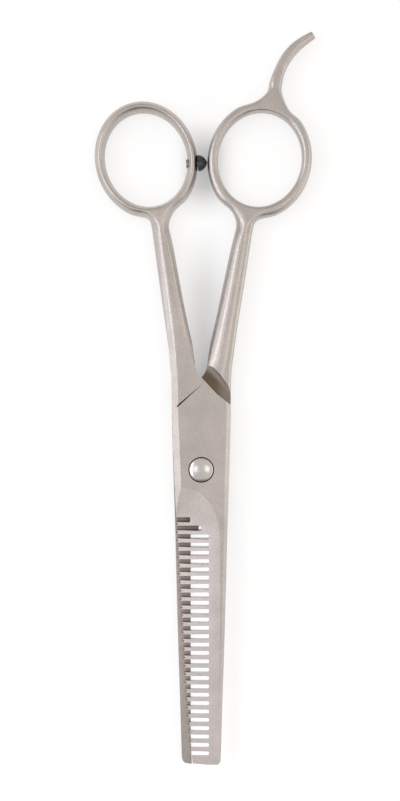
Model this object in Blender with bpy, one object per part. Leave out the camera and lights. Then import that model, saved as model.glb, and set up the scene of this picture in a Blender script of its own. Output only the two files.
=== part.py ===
"""Thinning shears, closed and lying flat.

+Z is up, +Y points to the finger rings and +X to the side of the plain half's ring. Lengths are
in millimetres, and MM turns them into metres as each mesh is made. Both halves are described in
one shared frame: the pivot's axis is at X = Y = 0, the table is Z = 0, and the half shows its
outer face upwards with its handle at -X. The plain half is then turned over about Y.
"""

import math

import bmesh
import bpy
from mathutils import Matrix, Vector

MM = 0.001

# Plate thicknesses and heights
THICKNESS = 5.0  # both blades together at the pivot
MIDDLE = THICKNESS / 2
SLIDE_GAP = 0.1  # between the two inner faces
INNER_FACE = MIDDLE + SLIDE_GAP / 2  # of the half that lies on top
HANDLE_TOP = 4.75
HANDLE_BOTTOM = 0.25

# Blades
TIP_Y = -73.9
TAPER_START_Y = -10.0  # from here to the tip the blades get thinner
TIP_OUTER_HEIGHT = 4.25
TOOTH_PITCH = 2.084
FIRST_GAP_Y = -12.5
GAP_COUNT = 29  # 28 teeth and the end block
GAP_OUTER_WIDTH = 1.32  # of a gap, this far above the inner face
GAP_OUTER_HEIGHT = 1.5
GAP_INNER_WIDTHS = ((0, 0.68), (8, 0.92), (28, 1.06))  # gap number, width at the inner face
GAP_ROOTS = (-2.74, 0.06)  # the first two gaps are shorter
GAP_ROOT_X = 1.9  # all the other gaps end here
GAP_CORNER = 0.25  # rounding radius in a gap's root
TOOTH_NOTCH_DEPTH = 0.4
TOOTH_NOTCH_WIDTH = 0.5
CUTTING_EDGE_X = 2.64
CUTTING_EDGE_HEIGHT = 0.2  # thickness left at the plain cutting edge
FACE_SLOPE = 0.15  # of the ground face behind the teeth
# The line where a ground face leaves the outer face: a quarter of an ellipse, then along the spine
GRIND_CENTRE = (-4.7, -16.1)
GRIND_RISE = 11.7  # how far the ellipse reaches towards the pivot
GRIND_SPINE = ((-28.0, 0.1), (-42.0, 0.05), (-60.0, -0.35), (-78.0, -0.6))  # Y, and X from the start
TOOTHED_SPINE_X = 4.64
PLAIN_SPINE_X = 4.9
TOOTHED_FOOT_X = -8.5  # the ground face is cut down to this line, past the teeth
# Ends of the blades, from left to right, with the radius of the rounded corner
TOOTHED_TIP = ((-2.24, 0.57), (1.2, 0.37), (4.86, 0.52))  # Y is counted from TIP_Y
TOOTHED_TIP_RADIUS = 0.9
PLAIN_TIP = ((1.9, 0.25), (2.3, 0.22), (4.75, 0.55))
PLAIN_TIP_RADIUS = 1.3
# Heel of the plain blade: the step behind the cutting edge, with the radius of each corner
HEEL_START = (-12.0, -1.9)  # outside the blade's left edge
HEEL = (((0.64, -13.9), 0.6), ((0.64, -15.8), 0.5), ((CUTTING_EDGE_X, -15.9), 0.4))
EDGE_END_Y = -66.0  # from here to the tip the cutting edge curves in
EDGE_TIP_INSET = 0.35
# Engraved line on the ricasso: ends in X and Y, half width and depth at each end
GROOVE = (((0.26, 21.3), 0.25, 0.02), ((-6.4, 15.35), 0.5, 0.3))

# Pivot
HEAD_RADIUS = 3.0
HEAD_BOTTOM = 4.25
HEAD_RIM = 5.0
HEAD_TOP = 5.75
SHAFT_RADIUS = 1.5
SHAFT_END = 0.3
HOLE_RADIUS = 1.8
COUNTERBORE_RADIUS = 3.2
COUNTERBORE_FLOOR = 3.45
CHAMFER = 0.2
WASHER_BORE = 1.85
WASHER_RADIUS = 2.85
WASHER_THICKNESS = 0.3
WASHER_DISH = 0.2
WASHER_BOTTOM = 3.6
NUT_RADIUS = 3.4
NUT_BOTTOM = 0.2
NUT_TOP = 1.25
NUT_RECESS_RADIUS = 3.65
NUT_RECESS_TOP = 1.4
NUT_BORE = 1.75
KEY_HOLE_RADIUS = 0.45
KEY_HOLE_TOP = 0.9
KEY_HOLE_X = 2.55

# Rubber bumper on the thumb ring, along an axis in the plane of the handle
BUMPER_PLACE = (-1.05, 76.5)  # on the ring's outer edge
BUMPER_LEAN = math.radians(4)
BUMPER_RADIUS = 2.0
BUMPER_LENGTH = 2.35
BUMPER_SKIRT = 0.45  # straight part next to the ring, below the blunt nose
BUMPER_ROUNDNESS = (1.6, 1.7)  # of the nose, across and along: 2 is a dome, 1 a cone
STUD_RADIUS = 0.6
STUD_HEAD_RADIUS = 1.1
BAND_WIDTH = 2.37  # of the ring where the stud goes through it
STUD_SEAT = 0.5 - BAND_WIDTH  # place of the flat that the stud's head sits on
STUD_PLAY = 0.2  # round the stud and its head
STUD_END = 1.2  # how far the stud reaches into the rubber
STUD_HEAD_THICKNESS = 0.7
STUD_SLOT = (0.4, 0.3)  # width and depth
BUMPER_BASE = 0.15  # distance from the ring to the rubber, and from the seat to the stud's head

# Rings: centre, short and long half axes, and lean in degrees, of the opening and of the outside
THUMB_RING = (((-13.77, 77.35), (10.25, 11.79), 14.0), ((-13.78, 77.35), (12.72, 14.72), 15.0))
FINGER_RING = (((-14.65, 77.3), (10.42, 11.74), 10.0), ((-14.58, 77.2), (12.98, 14.75), 11.0))
RING_STEP = 15.0  # degrees between two sections of a ring
THUMB_NECK = (-107.0, -90.0, -73.0)  # where the shank leaves the ring, in degrees
FINGER_NECK = (-104.0, -87.0, -70.0)
REST_ROOT = (72.0, 92.0, 112.0)  # where the finger rest leaves its ring

# Stations of a shank: Y, left edge, right edge, and how flat it is, from 0 (round) to 1 (plate)
THUMB_SHANK = (
    (61.2, -12.5, -8.05, 0.0),
    (57.2, -11.89, -7.31, 0.1),
    (47.2, -10.54, -5.44, 0.35),
    (37.2, -9.14, -3.51, 0.6),
    (30.5, -8.2, -2.0, 0.85),
)
FINGER_SHANK = (
    (61.2, -13.25, -8.75, 0.0),
    (57.2, -12.41, -7.89, 0.1),
    (47.2, -10.91, -5.71, 0.35),
    (37.2, -9.3, -3.6, 0.6),
    (30.5, -8.35, -2.0, 0.85),
)
# Stations of the ricasso and the blade: Y, left edge, right edge
PLATE = (
    (26.5, -7.8, -0.8),
    (23.5, -7.5, 1.6),
    (20.5, -7.38, 5.0),
    (17.5, -7.35, 6.9),
    (14.4, -7.31, 7.26),
    (8.4, -7.11, 7.14),
    (-3.6, -6.64, 6.79),
    (-12.6, -6.22, 6.5),
    (-24.0, -5.6, 6.22),
    (-42.6, -4.5, 5.72),
    (-58.8, -3.61, 5.2),
    (-69.5, -2.54, 4.9),
    (-76.0, -2.0, 4.7),
)
# The finger rest's centre line and its width at each point
REST_PATH = (
    ((-18.3, 93.9), 4.0),
    ((-18.6, 96.2), 3.25),
    ((-19.4, 99.0), 2.85),
    ((-20.8, 102.0), 2.8),
    ((-22.7, 104.6), 2.75),
    ((-25.1, 106.7), 2.5),
    ((-27.9, 108.5), 2.0),
)
REST_ROOT_HEIGHT = 3.9
REST_TIP_HEIGHT = 2.6

# Bevels along the outer face of the ricasso and, after the taper's start, of the blade
LEFT_BEVELS = (1.6, 1.2)
RIGHT_BEVELS = (0.95, 0.75)
BEVEL_FALL = 0.95
RIDGE_SHARPNESS = 0.7  # of the line along the handle's inner side

# Crotch: the shank's inner edge turns into the shoulder's diagonal edge
CROTCH_START = (-2.7, 34.5)
CROTCH_CORNER = (-1.2, 24.2)
CROTCH_RADIUS = 5.0
APEX = (0.2, 22.75)  # where the two halves' edges cross at the crotch
SHOULDER_BEND = (4.1, 18.6)
SHOULDER_END = (6.84, 16.5)
SCOOP_RADIUS = 4.6  # of the hollow where the full handle drops to one plate

ROUND_SIDES = 32
CUT_BELOW = -3.0  # heights well below and well above the shears, for the cutters
CUT_ABOVE = 8.0
CUT_ASIDE = 12.0  # and well outside a blade


def clear_scene():
    for obj in list(bpy.data.objects):
        bpy.data.objects.remove(obj, do_unlink=True)


def material(name, colour, roughness, metallic):
    made = bpy.data.materials.new(name)
    made.use_nodes = True
    shader = made.node_tree.nodes["Principled BSDF"]
    shader.inputs["Base Color"].default_value = (*colour, 1.0)
    shader.inputs["Roughness"].default_value = roughness
    shader.inputs["Metallic"].default_value = metallic
    return made


def turned_over(point):
    """The same point on a half that is turned over about the Y axis."""
    x, y, z = point
    return (-x, y, THICKNESS - z)


def mesh_object(name, points, faces, surface=None, over=False):
    """An object from points in millimetres. With over, the points are turned over first."""
    placed = [turned_over(p) if over else p for p in points]
    mesh = bpy.data.meshes.new(name)
    mesh.from_pydata([Vector(p) * MM for p in placed], [], faces)
    obj = bpy.data.objects.new(name, mesh)
    bpy.context.scene.collection.objects.link(obj)
    if surface:
        mesh.materials.append(surface)
    return obj


def as_cutter(obj):
    obj.hide_render = True
    obj.display_type = "WIRE"
    return obj


def cut(obj, cutter):
    modifier = obj.modifiers.new(cutter.name, "BOOLEAN")
    modifier.operation = "DIFFERENCE"
    modifier.solver = "EXACT"
    modifier.object = as_cutter(cutter)


def prism(name, outline, low, high, over=False):
    """A prism over a counterclockwise outline in X and Y."""
    count = len(outline)
    points = [(x, y, low) for x, y in outline] + [(x, y, high) for x, y in outline]
    faces = [list(range(count))[::-1], list(range(count, 2 * count))]
    for i in range(count):
        j = (i + 1) % count
        faces.append([i, j, count + j, count + i])
    return mesh_object(name, points, faces, over=over)


def turned(name, profile, surface=None, sides=ROUND_SIDES):
    """A solid turned about Z. The profile runs from the axis or the bore's top outwards and down.

    It is a list of (radius, height) pairs that goes clockwise as seen with the axis on the left.
    """
    points, rings = [], []
    for radius, height in profile:
        ring = []
        for i in range(1 if radius == 0 else sides):
            angle = 2 * math.pi * i / sides
            ring.append(len(points))
            points.append((radius * math.cos(angle), radius * math.sin(angle), height))
        rings.append(ring)
    faces = []
    closed = profile[0][0] > 0
    for k in range(len(rings) if closed else len(rings) - 1):
        upper, lower = rings[k], rings[(k + 1) % len(rings)]
        for i in range(sides):
            j = (i + 1) % sides
            if len(upper) == 1:
                faces.append([upper[0], lower[i], lower[j]])
            elif len(lower) == 1:
                faces.append([upper[i], lower[0], upper[j]])
            else:
                faces.append([upper[i], lower[i], lower[j], upper[j]])
    return mesh_object(name, points, faces, surface)


def cylinder(name, radius, low, high, sides=ROUND_SIDES):
    return turned(name, [(0, high), (radius, high), (radius, low), (0, low)], sides=sides)


def rounded_corner(before, corner, after, radius, steps=6):
    """Points of the arc that rounds the corner between two straight edges."""
    corner = Vector(corner)
    to_before = (Vector(before) - corner).normalized()
    to_after = (Vector(after) - corner).normalized()
    half = to_before.angle(to_after) / 2
    centre = corner + (to_before + to_after).normalized() * (radius / math.sin(half))
    start = corner + to_before * (radius / math.tan(half)) - centre
    end = corner + to_after * (radius / math.tan(half)) - centre
    arc = start.angle_signed(end)
    points = []
    for i in range(steps + 1):
        place = start.copy()
        place.rotate(Matrix.Rotation(-arc * i / steps, 2))
        points.append(tuple(centre + place))
    return points


# ---- The forged halves: one subdivision cage each, whose surface passes through its stations


class Cage:
    """Points, faces and creases of a half before it is smoothed."""

    def __init__(self):
        self.points = []
        self.faces = []
        self.creases = {}
        self.level = set()  # points whose height is kept, so that flat faces stay flat

    def add(self, points):
        first = len(self.points)
        self.points += [tuple(p) for p in points]
        return list(range(first, len(self.points)))


def ring_angles(*joints):
    """Angles of the ring's sections: those of the joints, and even steps between the joints."""
    angles = []
    for k, joint in enumerate(joints):
        angles += list(joint)
        ahead = joints[(k + 1) % len(joints)][0] + (360.0 if k + 1 == len(joints) else 0.0)
        steps = max(1, round((ahead - joint[-1]) / RING_STEP))
        angles += [joint[-1] + (ahead - joint[-1]) * i / steps for i in range(1, steps)]
    return angles


# The band's section: across the band (+1 is outside) and up (+1 is the top)
BAND_SECTION = (
    (-0.05, 1.0),
    (0.66, 0.62),
    (1.0, 0.0),
    (0.8, -0.66),
    (0.0, -0.98),
    (-0.8, -0.72),
    (-1.0, 0.0),
    (-0.68, 0.58),
)


def add_ring(cage, ring, *joints):
    """Adds a finger ring and leaves an opening in its outer side at each joint.

    Returns one loop of points for each joint, in the order that section_loop gives.
    """
    angles = ring_angles(*joints)
    half_height = (HANDLE_TOP - HANDLE_BOTTOM) / 2
    rows = []
    for degrees in angles:
        angle = math.radians(degrees)
        across, along = math.cos(angle), math.sin(angle)
        edges = []
        for centre, (short, long), lean in ring:
            offset = Vector((short * across, long * along))
            offset.rotate(Matrix.Rotation(math.radians(lean), 2))
            edges.append(Vector(centre) + offset)
        middle = (edges[0] + edges[1]) / 2
        half_band = (edges[1] - edges[0]) / 2
        row = []
        for out, up in BAND_SECTION:
            place = middle + half_band * out
            row.append((place.x, place.y, MIDDLE + up * half_height))
        rows.append(cage.add(row))
    sides = len(BAND_SECTION)
    starts = [angles.index(joint[0]) for joint in joints]
    open_steps = {start + i for start in starts for i in (0, 1)}
    for j in range(len(rows)):
        near, far = rows[j], rows[(j + 1) % len(rows)]
        for k in range(sides):
            if j in open_steps and k < 4:
                continue
            n = (k + 1) % sides
            cage.faces.append([near[k], near[n], far[n], far[k]])
    loops = []
    for start in starts:
        a, b, c = rows[start], rows[start + 1], rows[start + 2]
        loops.append([a[0], b[0], c[0], c[1], c[2], c[3], c[4], b[4], a[4], a[3], a[2], a[1]])
    return loops


def add_loft(cage, loop, sections, sharpness, creased=(), ridges=()):
    """Continues from a loop of twelve points through the sections, and closes the end.

    The creased lines get sharper with the sections' sharpness, and the ridges are sharp all along.
    """
    for section, sharp in zip(sections, sharpness):
        fresh = cage.add(section)
        for i in range(len(loop)):
            j = (i + 1) % len(loop)
            cage.faces.append([loop[i], fresh[i], fresh[j], loop[j]])
        for i in creased:
            cage.creases[frozenset((loop[i], fresh[i]))] = sharp
        for i in ridges:
            cage.creases[frozenset((loop[i], fresh[i]))] = RIDGE_SHARPNESS
        loop = fresh
    inside = []
    for left, right in ((11, 3), (10, 4), (9, 5)):
        a, b = Vector(cage.points[loop[left]]), Vector(cage.points[loop[right]])
        inside += cage.add([(a + b) / 2])
    grid = [
        [loop[0], loop[1], loop[2]],
        [loop[11], inside[0], loop[3]],
        [loop[10], inside[1], loop[4]],
        [loop[9], inside[2], loop[5]],
        [loop[8], loop[7], loop[6]],
    ]
    for r in range(4):
        for c in range(2):
            cage.faces.append([grid[r][c], grid[r + 1][c], grid[r + 1][c + 1], grid[r][c + 1]])
    for i in range(len(loop)):
        cage.creases[frozenset((loop[i], loop[(i + 1) % len(loop)]))] = 1.0


def outer_height(y):
    """Height of the outer face: level at the pivot, and falling to the tip."""
    run = (TAPER_START_Y - y) / (TAPER_START_Y - TIP_Y)
    return THICKNESS + (TIP_OUTER_HEIGHT - THICKNESS) * max(0.0, run)


def plate_section(y, left, right, flat):
    """Twelve points round a shank, ricasso or blade, clockwise from the outer face's left."""
    width = right - left
    middle = (left + right) / 2

    def mix(round_value, flat_value):
        return round_value + (flat_value - round_value) * flat

    top = mix(HANDLE_TOP - 0.1, outer_height(y))
    bottom = HANDLE_BOTTOM
    part = 0 if y > TAPER_START_Y else 1
    left_bevel = mix(0.30 * width, LEFT_BEVELS[part])
    right_bevel = mix(0.30 * width, RIGHT_BEVELS[part])
    inset = mix(0.11 * width, 0.0)
    fall = mix(0.3, 0.0)
    side = top - mix(1.3, BEVEL_FALL)
    return [
        (left + left_bevel, y, top - fall),
        (middle, y, top),
        (right - right_bevel, y, top - fall),
        (right - inset, y, side),
        (right, y, MIDDLE),
        (right - 0.11 * width, y, bottom + 1.2),
        (right - 0.30 * width, y, bottom + 0.35),
        (left + 0.5 * width, y, bottom),
        (left + 0.27 * width, y, bottom + 0.08),
        (left + 0.04 * width, y, bottom + 0.85),
        (left, y, MIDDLE),
        (left + inset, y, side),
    ]


def rest_section(centre, ahead, width, height):
    """Twelve points round the finger rest. ahead is the way its centre line runs."""
    side = Vector((-ahead.y, ahead.x)) * (width / 2)
    shape = (
        (-0.55, 0.78), (0.0, 1.0), (0.55, 0.78), (0.86, 0.52), (1.0, 0.0), (0.86, -0.52),
        (0.55, -0.78), (0.0, -1.0), (-0.55, -0.78), (-0.86, -0.52), (-1.0, 0.0), (-0.86, 0.52),
    )
    return [
        (centre.x + side.x * a, centre.y + side.y * a, MIDDLE + b * height / 2)
        for a, b in shape
    ]


def add_finger_rest(cage, loop):
    sections = []
    centres = [Vector(point) for point, _ in REST_PATH]
    last = len(centres) - 1
    for i, (_, width) in enumerate(REST_PATH):
        ahead = (centres[min(i + 1, last)] - centres[max(i - 1, 0)]).normalized()
        height = REST_ROOT_HEIGHT + (REST_TIP_HEIGHT - REST_ROOT_HEIGHT) * i / last
        sections.append(rest_section(centres[i], ahead, width, height))
    add_loft(cage, loop, sections, [0.0] * len(sections))


def make_cage(ring, neck, shank, rest_root=None):
    cage = Cage()
    joints = (neck, rest_root) if rest_root else (neck,)
    loops = add_ring(cage, ring, *joints)
    stations = list(shank) + [(y, left, right, 1.0) for y, left, right in PLATE]
    sections = [plate_section(*station) for station in stations]
    first_plate = len(cage.points) + len(shank) * len(sections[0])
    add_loft(cage, loops[0], sections, [flat**2 for *_, flat in stations], (0, 2, 3, 11), (8,))
    cage.level.update(range(first_plate, len(cage.points)))
    if rest_root:
        add_finger_rest(cage, loops[1])
    return cage


def add_smoothing(obj, levels):
    modifier = obj.modifiers.new("smooth", "SUBSURF")
    modifier.levels = levels
    modifier.render_levels = levels


def forged_half(name, cage, surface, over=False):
    """The smoothed half. Its cage is moved until the smooth surface meets the cage's stations."""
    obj = mesh_object(name, cage.points, cage.faces, surface, over)
    mesh = obj.data
    sharp = mesh.attributes.new("crease_edge", "FLOAT", "EDGE")
    for edge in mesh.edges:
        sharp.data[edge.index].value = cage.creases.get(frozenset(edge.vertices), 0.0)
    add_smoothing(obj, 1)
    wanted = [vertex.co.copy() for vertex in mesh.vertices]
    for _ in range(12):
        graph = bpy.context.evaluated_depsgraph_get()
        smooth = obj.evaluated_get(graph).data
        moves = [place - smooth.vertices[i].co for i, place in enumerate(wanted)]
        for i, move in enumerate(moves):
            if i in cage.level:
                move.z = 0.0
            mesh.vertices[i].co += move
        mesh.update()
        obj.update_tag()
        bpy.context.view_layer.update()
    return obj


# ---- Cutters that both halves share


def inner_side_cutter(name, over):
    """Takes away the inner side below the handle, and leaves a hollow shoulder.

    The shoulder lies along the other half's diagonal edge.
    """
    shoulder = (Vector(SHOULDER_BEND) - Vector(CROTCH_CORNER)).normalized()
    along = Vector((-shoulder.x, shoulder.y))
    handle_side = Vector((along.y, -along.x))
    start = Vector((-APEX[0], APEX[1]))
    steps = 8
    past_blade = TIP_Y * 1.5
    reach = math.acos((SCOOP_RADIUS - INNER_FACE - 0.5) / SCOOP_RADIUS)
    profile = [(past_blade, INNER_FACE), (0.0, INNER_FACE)]
    for i in range(1, steps + 1):
        angle = reach * i / steps
        profile.append((SCOOP_RADIUS * math.sin(angle), INNER_FACE - SCOOP_RADIUS * (1 - math.cos(angle))))
    profile += [(profile[-1][0], CUT_BELOW), (past_blade, CUT_BELOW)]
    points = []
    for far in (past_blade, -past_blade):
        for out, height in profile:
            place = start + handle_side * out + along * far
            points.append((place.x, place.y, height))
    count = len(profile)
    faces = [list(range(count)), list(range(count, 2 * count))[::-1]]
    for i in range(count):
        j = (i + 1) % count
        faces.append([j, i, count + i, count + j])
    cutter = mesh_object(name, points, faces, over=over)
    return outwards(cutter)


def outwards(obj):
    """Turns the faces of a closed mesh outwards."""
    work = bmesh.new()
    work.from_mesh(obj.data)
    bmesh.ops.recalc_face_normals(work, faces=work.faces)
    work.to_mesh(obj.data)
    work.free()
    return obj


def crotch_cutter(name, over):
    """Trims the crotch and the shoulder's diagonal edge."""
    outline = rounded_corner(CROTCH_START, CROTCH_CORNER, SHOULDER_BEND, CROTCH_RADIUS)
    slope = (SHOULDER_END[1] - SHOULDER_BEND[1]) / (SHOULDER_END[0] - SHOULDER_BEND[0])
    outside = (CUT_ASIDE, SHOULDER_END[1] + slope * (CUT_ASIDE - SHOULDER_END[0]))
    outline = [(CUT_ASIDE, CROTCH_START[1]), CROTCH_START] + outline + [SHOULDER_BEND, outside]
    return outwards(prism(name, outline, CUT_BELOW, CUT_ABOVE, over))


def grind_boundary(spine_x):
    """The line where a ground face leaves the outer face, from the left edge to the tip."""
    centre_x, centre_y = GRIND_CENTRE
    half_width = spine_x - centre_x
    steps = 10
    points = []
    for i in range(steps + 1):
        angle = math.radians(100.0 * (1 - i / steps))
        points.append((centre_x + half_width * math.cos(angle), centre_y + GRIND_RISE * math.sin(angle)))
    return points + [(spine_x + shift, y) for y, shift in GRIND_SPINE]


def grind_cutter(name, spine_x, foot, foot_height, over):
    """Takes the ground face off the outer side, from the boundary down to the foot line."""
    foot_x, foot_y = foot
    lower, upper = [], []
    for x, y in grind_boundary(spine_x):
        top = Vector((x, y, outer_height(y)))
        bottom = Vector((foot_x, min(y, foot_y), foot_height(y)))
        lower.append(bottom)
        upper.append(top + (top - bottom) * 0.12)
    count = len(lower)
    points = [tuple(p) for p in lower + upper]
    points += [(x, y, CUT_ABOVE) for x, y, _ in points]
    faces = []
    for i in range(count - 1):
        a, b, c, d = i, i + 1, count + i + 1, count + i
        high = 2 * count
        faces += [[a, b, c, d], [a + high, b + high, c + high, d + high]]
        faces += [[a, b, b + high, a + high], [d, c, c + high, d + high]]
    for i in (0, count - 1):
        faces.append([i, count + i, 3 * count + i, 2 * count + i])
    return outwards(mesh_object(name, points, faces, over=over))


def tip_cutter(name, corners, radius, over):
    """Trims the blade's end to a line from left to right, whose last corner is rounded."""
    corners = [(x, TIP_Y + y) for x, y in corners]
    up = (corners[-1][0], TIP_Y + 4.0)
    outline = corners[:-1] + rounded_corner(corners[-2], corners[-1], up, radius, 4)
    below = TIP_Y - 5.0
    frame = [(-CUT_ASIDE, below), (CUT_ASIDE, below), (CUT_ASIDE, outline[-1][1])]
    outline = frame + outline[::-1] + [(-CUT_ASIDE, outline[0][1])]
    return outwards(prism(name, outline, CUT_BELOW, CUT_ABOVE, over))


# ---- Comb


def gap_outline(centre_y, root_x, half_width):
    """A gap between two teeth, open to the left, with small rounds in its root."""
    centre_x = root_x - GAP_CORNER
    inner = half_width - GAP_CORNER
    outline = [(-CUT_ASIDE, centre_y - half_width)]
    for start, y in ((-90, centre_y - inner), (0, centre_y + inner)):
        for i in range(4):
            angle = math.radians(start + 30 * i)
            outline.append((centre_x + GAP_CORNER * math.cos(angle), y + GAP_CORNER * math.sin(angle)))
    outline.append((-CUT_ASIDE, centre_y + half_width))
    return outline


def inner_width(gap):
    """Width of a gap at the inner face. It grows towards the tip."""
    for (n0, w0), (n1, w1) in zip(GAP_INNER_WIDTHS, GAP_INNER_WIDTHS[1:]):
        if gap <= n1:
            return w0 + (w1 - w0) * (gap - n0) / (n1 - n0)
    return GAP_INNER_WIDTHS[-1][1]


def comb_cutter(name):
    """All the gaps of the comb. They are wider at the outer face."""
    low, high = INNER_FACE - 0.2, THICKNESS + 1.0
    points, faces = [], []
    for i in range(GAP_COUNT):
        centre_y = FIRST_GAP_Y - i * TOOTH_PITCH
        root_x = GAP_ROOTS[i] if i < len(GAP_ROOTS) else GAP_ROOT_X
        first = len(points)
        inner = inner_width(i)
        for height in (low, high):
            share = (height - INNER_FACE) / GAP_OUTER_HEIGHT
            half_width = (inner + (GAP_OUTER_WIDTH - inner) * share) / 2
            points += [(x, y, height) for x, y in gap_outline(centre_y, root_x, half_width)]
        count = (len(points) - first) // 2
        faces += [[first + k for k in range(count)][::-1], [first + count + k for k in range(count)]]
        for k in range(count):
            n = (k + 1) % count
            faces.append([first + k, first + n, first + count + n, first + count + k])
    return outwards(mesh_object(name, points, faces))


def left_edge(y):
    """The line of the tooth tips."""
    for (y0, x0, _), (y1, x1, _) in zip(PLATE, PLATE[1:]):
        if y1 <= y <= y0:
            return x0 + (x1 - x0) * (y - y0) / (y1 - y0)
    return PLATE[-1][1]


def notch_cutter(name):
    """The small V in the tip of each tooth, which holds the hair."""
    points, faces = [], []
    for i in range(GAP_COUNT - 1):
        y = FIRST_GAP_Y - (i + 0.5) * TOOTH_PITCH
        tip = left_edge(y)
        half = TOOTH_NOTCH_WIDTH / 2
        outer = tip - 1.0
        spread = half * (1.0 + TOOTH_NOTCH_DEPTH) / TOOTH_NOTCH_DEPTH
        first = len(points)
        for height in (INNER_FACE - 1.0, THICKNESS + 1.0):
            points += [(outer, y - spread, height), (tip + TOOTH_NOTCH_DEPTH, y, height)]
            points.append((outer, y + spread, height))
        a = first
        faces += [[a, a + 2, a + 1], [a + 3, a + 4, a + 5]]
        faces += [[a, a + 1, a + 4, a + 3], [a + 1, a + 2, a + 5, a + 4], [a + 2, a, a + 3, a + 5]]
    return outwards(mesh_object(name, points, faces))


def groove_cutter(name):
    """The engraved line on the outer face of the ricasso, deeper towards the edge."""
    above = 0.5
    start, end = (Vector(place) for place, _, _ in GROOVE)
    across = Vector((start.y - end.y, end.x - start.x)).normalized()
    points = []
    for place, half, depth in GROOVE:
        wide = half * (above + depth) / (depth + above / 2)
        for side in (-wide, wide):
            points.append((*(Vector(place) + across * side), THICKNESS + above))
        points.append((*place, THICKNESS - depth))
    faces = [[0, 1, 2], [3, 5, 4], [0, 3, 4, 1], [1, 4, 5, 2], [2, 5, 3, 0]]
    return outwards(mesh_object(name, points, faces))


# ---- Pieces


def toothed_half(steel):
    cage = make_cage(THUMB_RING, THUMB_NECK, THUMB_SHANK)
    half = forged_half("toothed_half", cage, steel)

    def face_foot(y):
        return outer_height(y) - FACE_SLOPE * (TOOTHED_SPINE_X - TOOTHED_FOOT_X)

    foot = (TOOTHED_FOOT_X, GRIND_CENTRE[1] - 0.9)
    cut(half, inner_side_cutter("cut_thumb_inner_side", False))
    cut(half, crotch_cutter("cut_thumb_crotch", False))
    cut(half, grind_cutter("cut_comb_face", TOOTHED_SPINE_X, foot, face_foot, False))
    cut(half, tip_cutter("cut_comb_tip", TOOTHED_TIP, TOOTHED_TIP_RADIUS, False))
    cut(half, comb_cutter("cut_comb_gaps"))
    cut(half, notch_cutter("cut_tooth_notches"))
    cut(half, groove_cutter("cut_groove"))
    cut(half, cylinder("cut_counterbore", COUNTERBORE_RADIUS, COUNTERBORE_FLOOR, CUT_ABOVE))
    cut(half, cylinder("cut_thumb_pivot_hole", HOLE_RADIUS, CUT_BELOW, CUT_ABOVE))
    inside_ring = -2 * BAND_WIDTH
    hole = cylinder("cut_stud_hole", STUD_RADIUS + STUD_PLAY, inside_ring, BAND_WIDTH, 20)
    seat = cylinder("cut_stud_seat", STUD_HEAD_RADIUS + STUD_PLAY, inside_ring, STUD_SEAT, 24)
    cut(half, along_bumper(hole))
    cut(half, along_bumper(seat))
    return half


def plain_half(steel):
    cage = make_cage(FINGER_RING, FINGER_NECK, FINGER_SHANK, REST_ROOT)
    half = forged_half("plain_half", cage, steel, over=True)

    def edge_foot(_):
        return INNER_FACE + CUTTING_EDGE_HEIGHT

    foot = (CUTTING_EDGE_X, GRIND_CENTRE[1] - 1.4)
    heel_end = (CUTTING_EDGE_X, EDGE_END_Y)
    corners = [HEEL_START] + [corner for corner, _ in HEEL] + [heel_end]
    heel = [HEEL_START]
    for i, (corner, radius) in enumerate(HEEL):
        heel += rounded_corner(corners[i], corner, corners[i + 2], radius, 3)
    below = TIP_Y - 2.0
    edge = [heel_end, (CUTTING_EDGE_X - EDGE_TIP_INSET, below), (HEEL_START[0], below)]
    cut(half, inner_side_cutter("cut_finger_inner_side", True))
    cut(half, crotch_cutter("cut_finger_crotch", True))
    cut(half, grind_cutter("cut_plain_face", PLAIN_SPINE_X, foot, edge_foot, True))
    cut(half, outwards(prism("cut_heel", heel + edge, CUT_BELOW, CUT_ABOVE, True)))
    cut(half, tip_cutter("cut_plain_tip", PLAIN_TIP, PLAIN_TIP_RADIUS, True))
    cut(half, cylinder("cut_nut_recess", NUT_RECESS_RADIUS, CUT_BELOW, NUT_RECESS_TOP))
    cut(half, cylinder("cut_finger_pivot_hole", HOLE_RADIUS, CUT_BELOW, CUT_ABOVE))
    return half


def pivot_screw(steel):
    dome_steps = 8
    profile = [(0.0, HEAD_TOP)]
    for i in range(1, dome_steps + 1):
        angle = math.pi / 2 * i / dome_steps
        profile.append((HEAD_RADIUS * math.sin(angle), HEAD_RIM + (HEAD_TOP - HEAD_RIM) * math.cos(angle)))
    chamfer_start = (SHAFT_RADIUS, SHAFT_END + CHAMFER)
    chamfer_end = (SHAFT_RADIUS - CHAMFER, SHAFT_END)
    profile += [(HEAD_RADIUS, HEAD_BOTTOM), (SHAFT_RADIUS, HEAD_BOTTOM)]
    profile += [chamfer_start, chamfer_end, (0.0, SHAFT_END)]
    return turned("pivot_screw", profile, steel, sides=40)


def tension_washer(steel):
    low, thick = WASHER_BOTTOM, WASHER_THICKNESS
    high = low + WASHER_DISH
    profile = [(WASHER_BORE, high + thick), (WASHER_RADIUS, low + thick)]
    profile += [(WASHER_RADIUS, low), (WASHER_BORE, high)]
    return turned("tension_washer", profile, steel)


def pivot_nut(steel):
    profile = [(NUT_BORE, NUT_TOP), (NUT_RADIUS, NUT_TOP), (NUT_RADIUS, NUT_BOTTOM + CHAMFER)]
    profile += [(NUT_RADIUS - CHAMFER, NUT_BOTTOM), (NUT_BORE, NUT_BOTTOM)]
    nut = turned("pivot_nut", profile, steel, sides=36)
    for side in (-1, 1):
        key = cylinder(f"cut_key_hole_{side + 2}", KEY_HOLE_RADIUS, CUT_BELOW, KEY_HOLE_TOP, 16)
        key.location = (side * KEY_HOLE_X * MM, 0.0, 0.0)
        cut(nut, key)
    return nut


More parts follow.
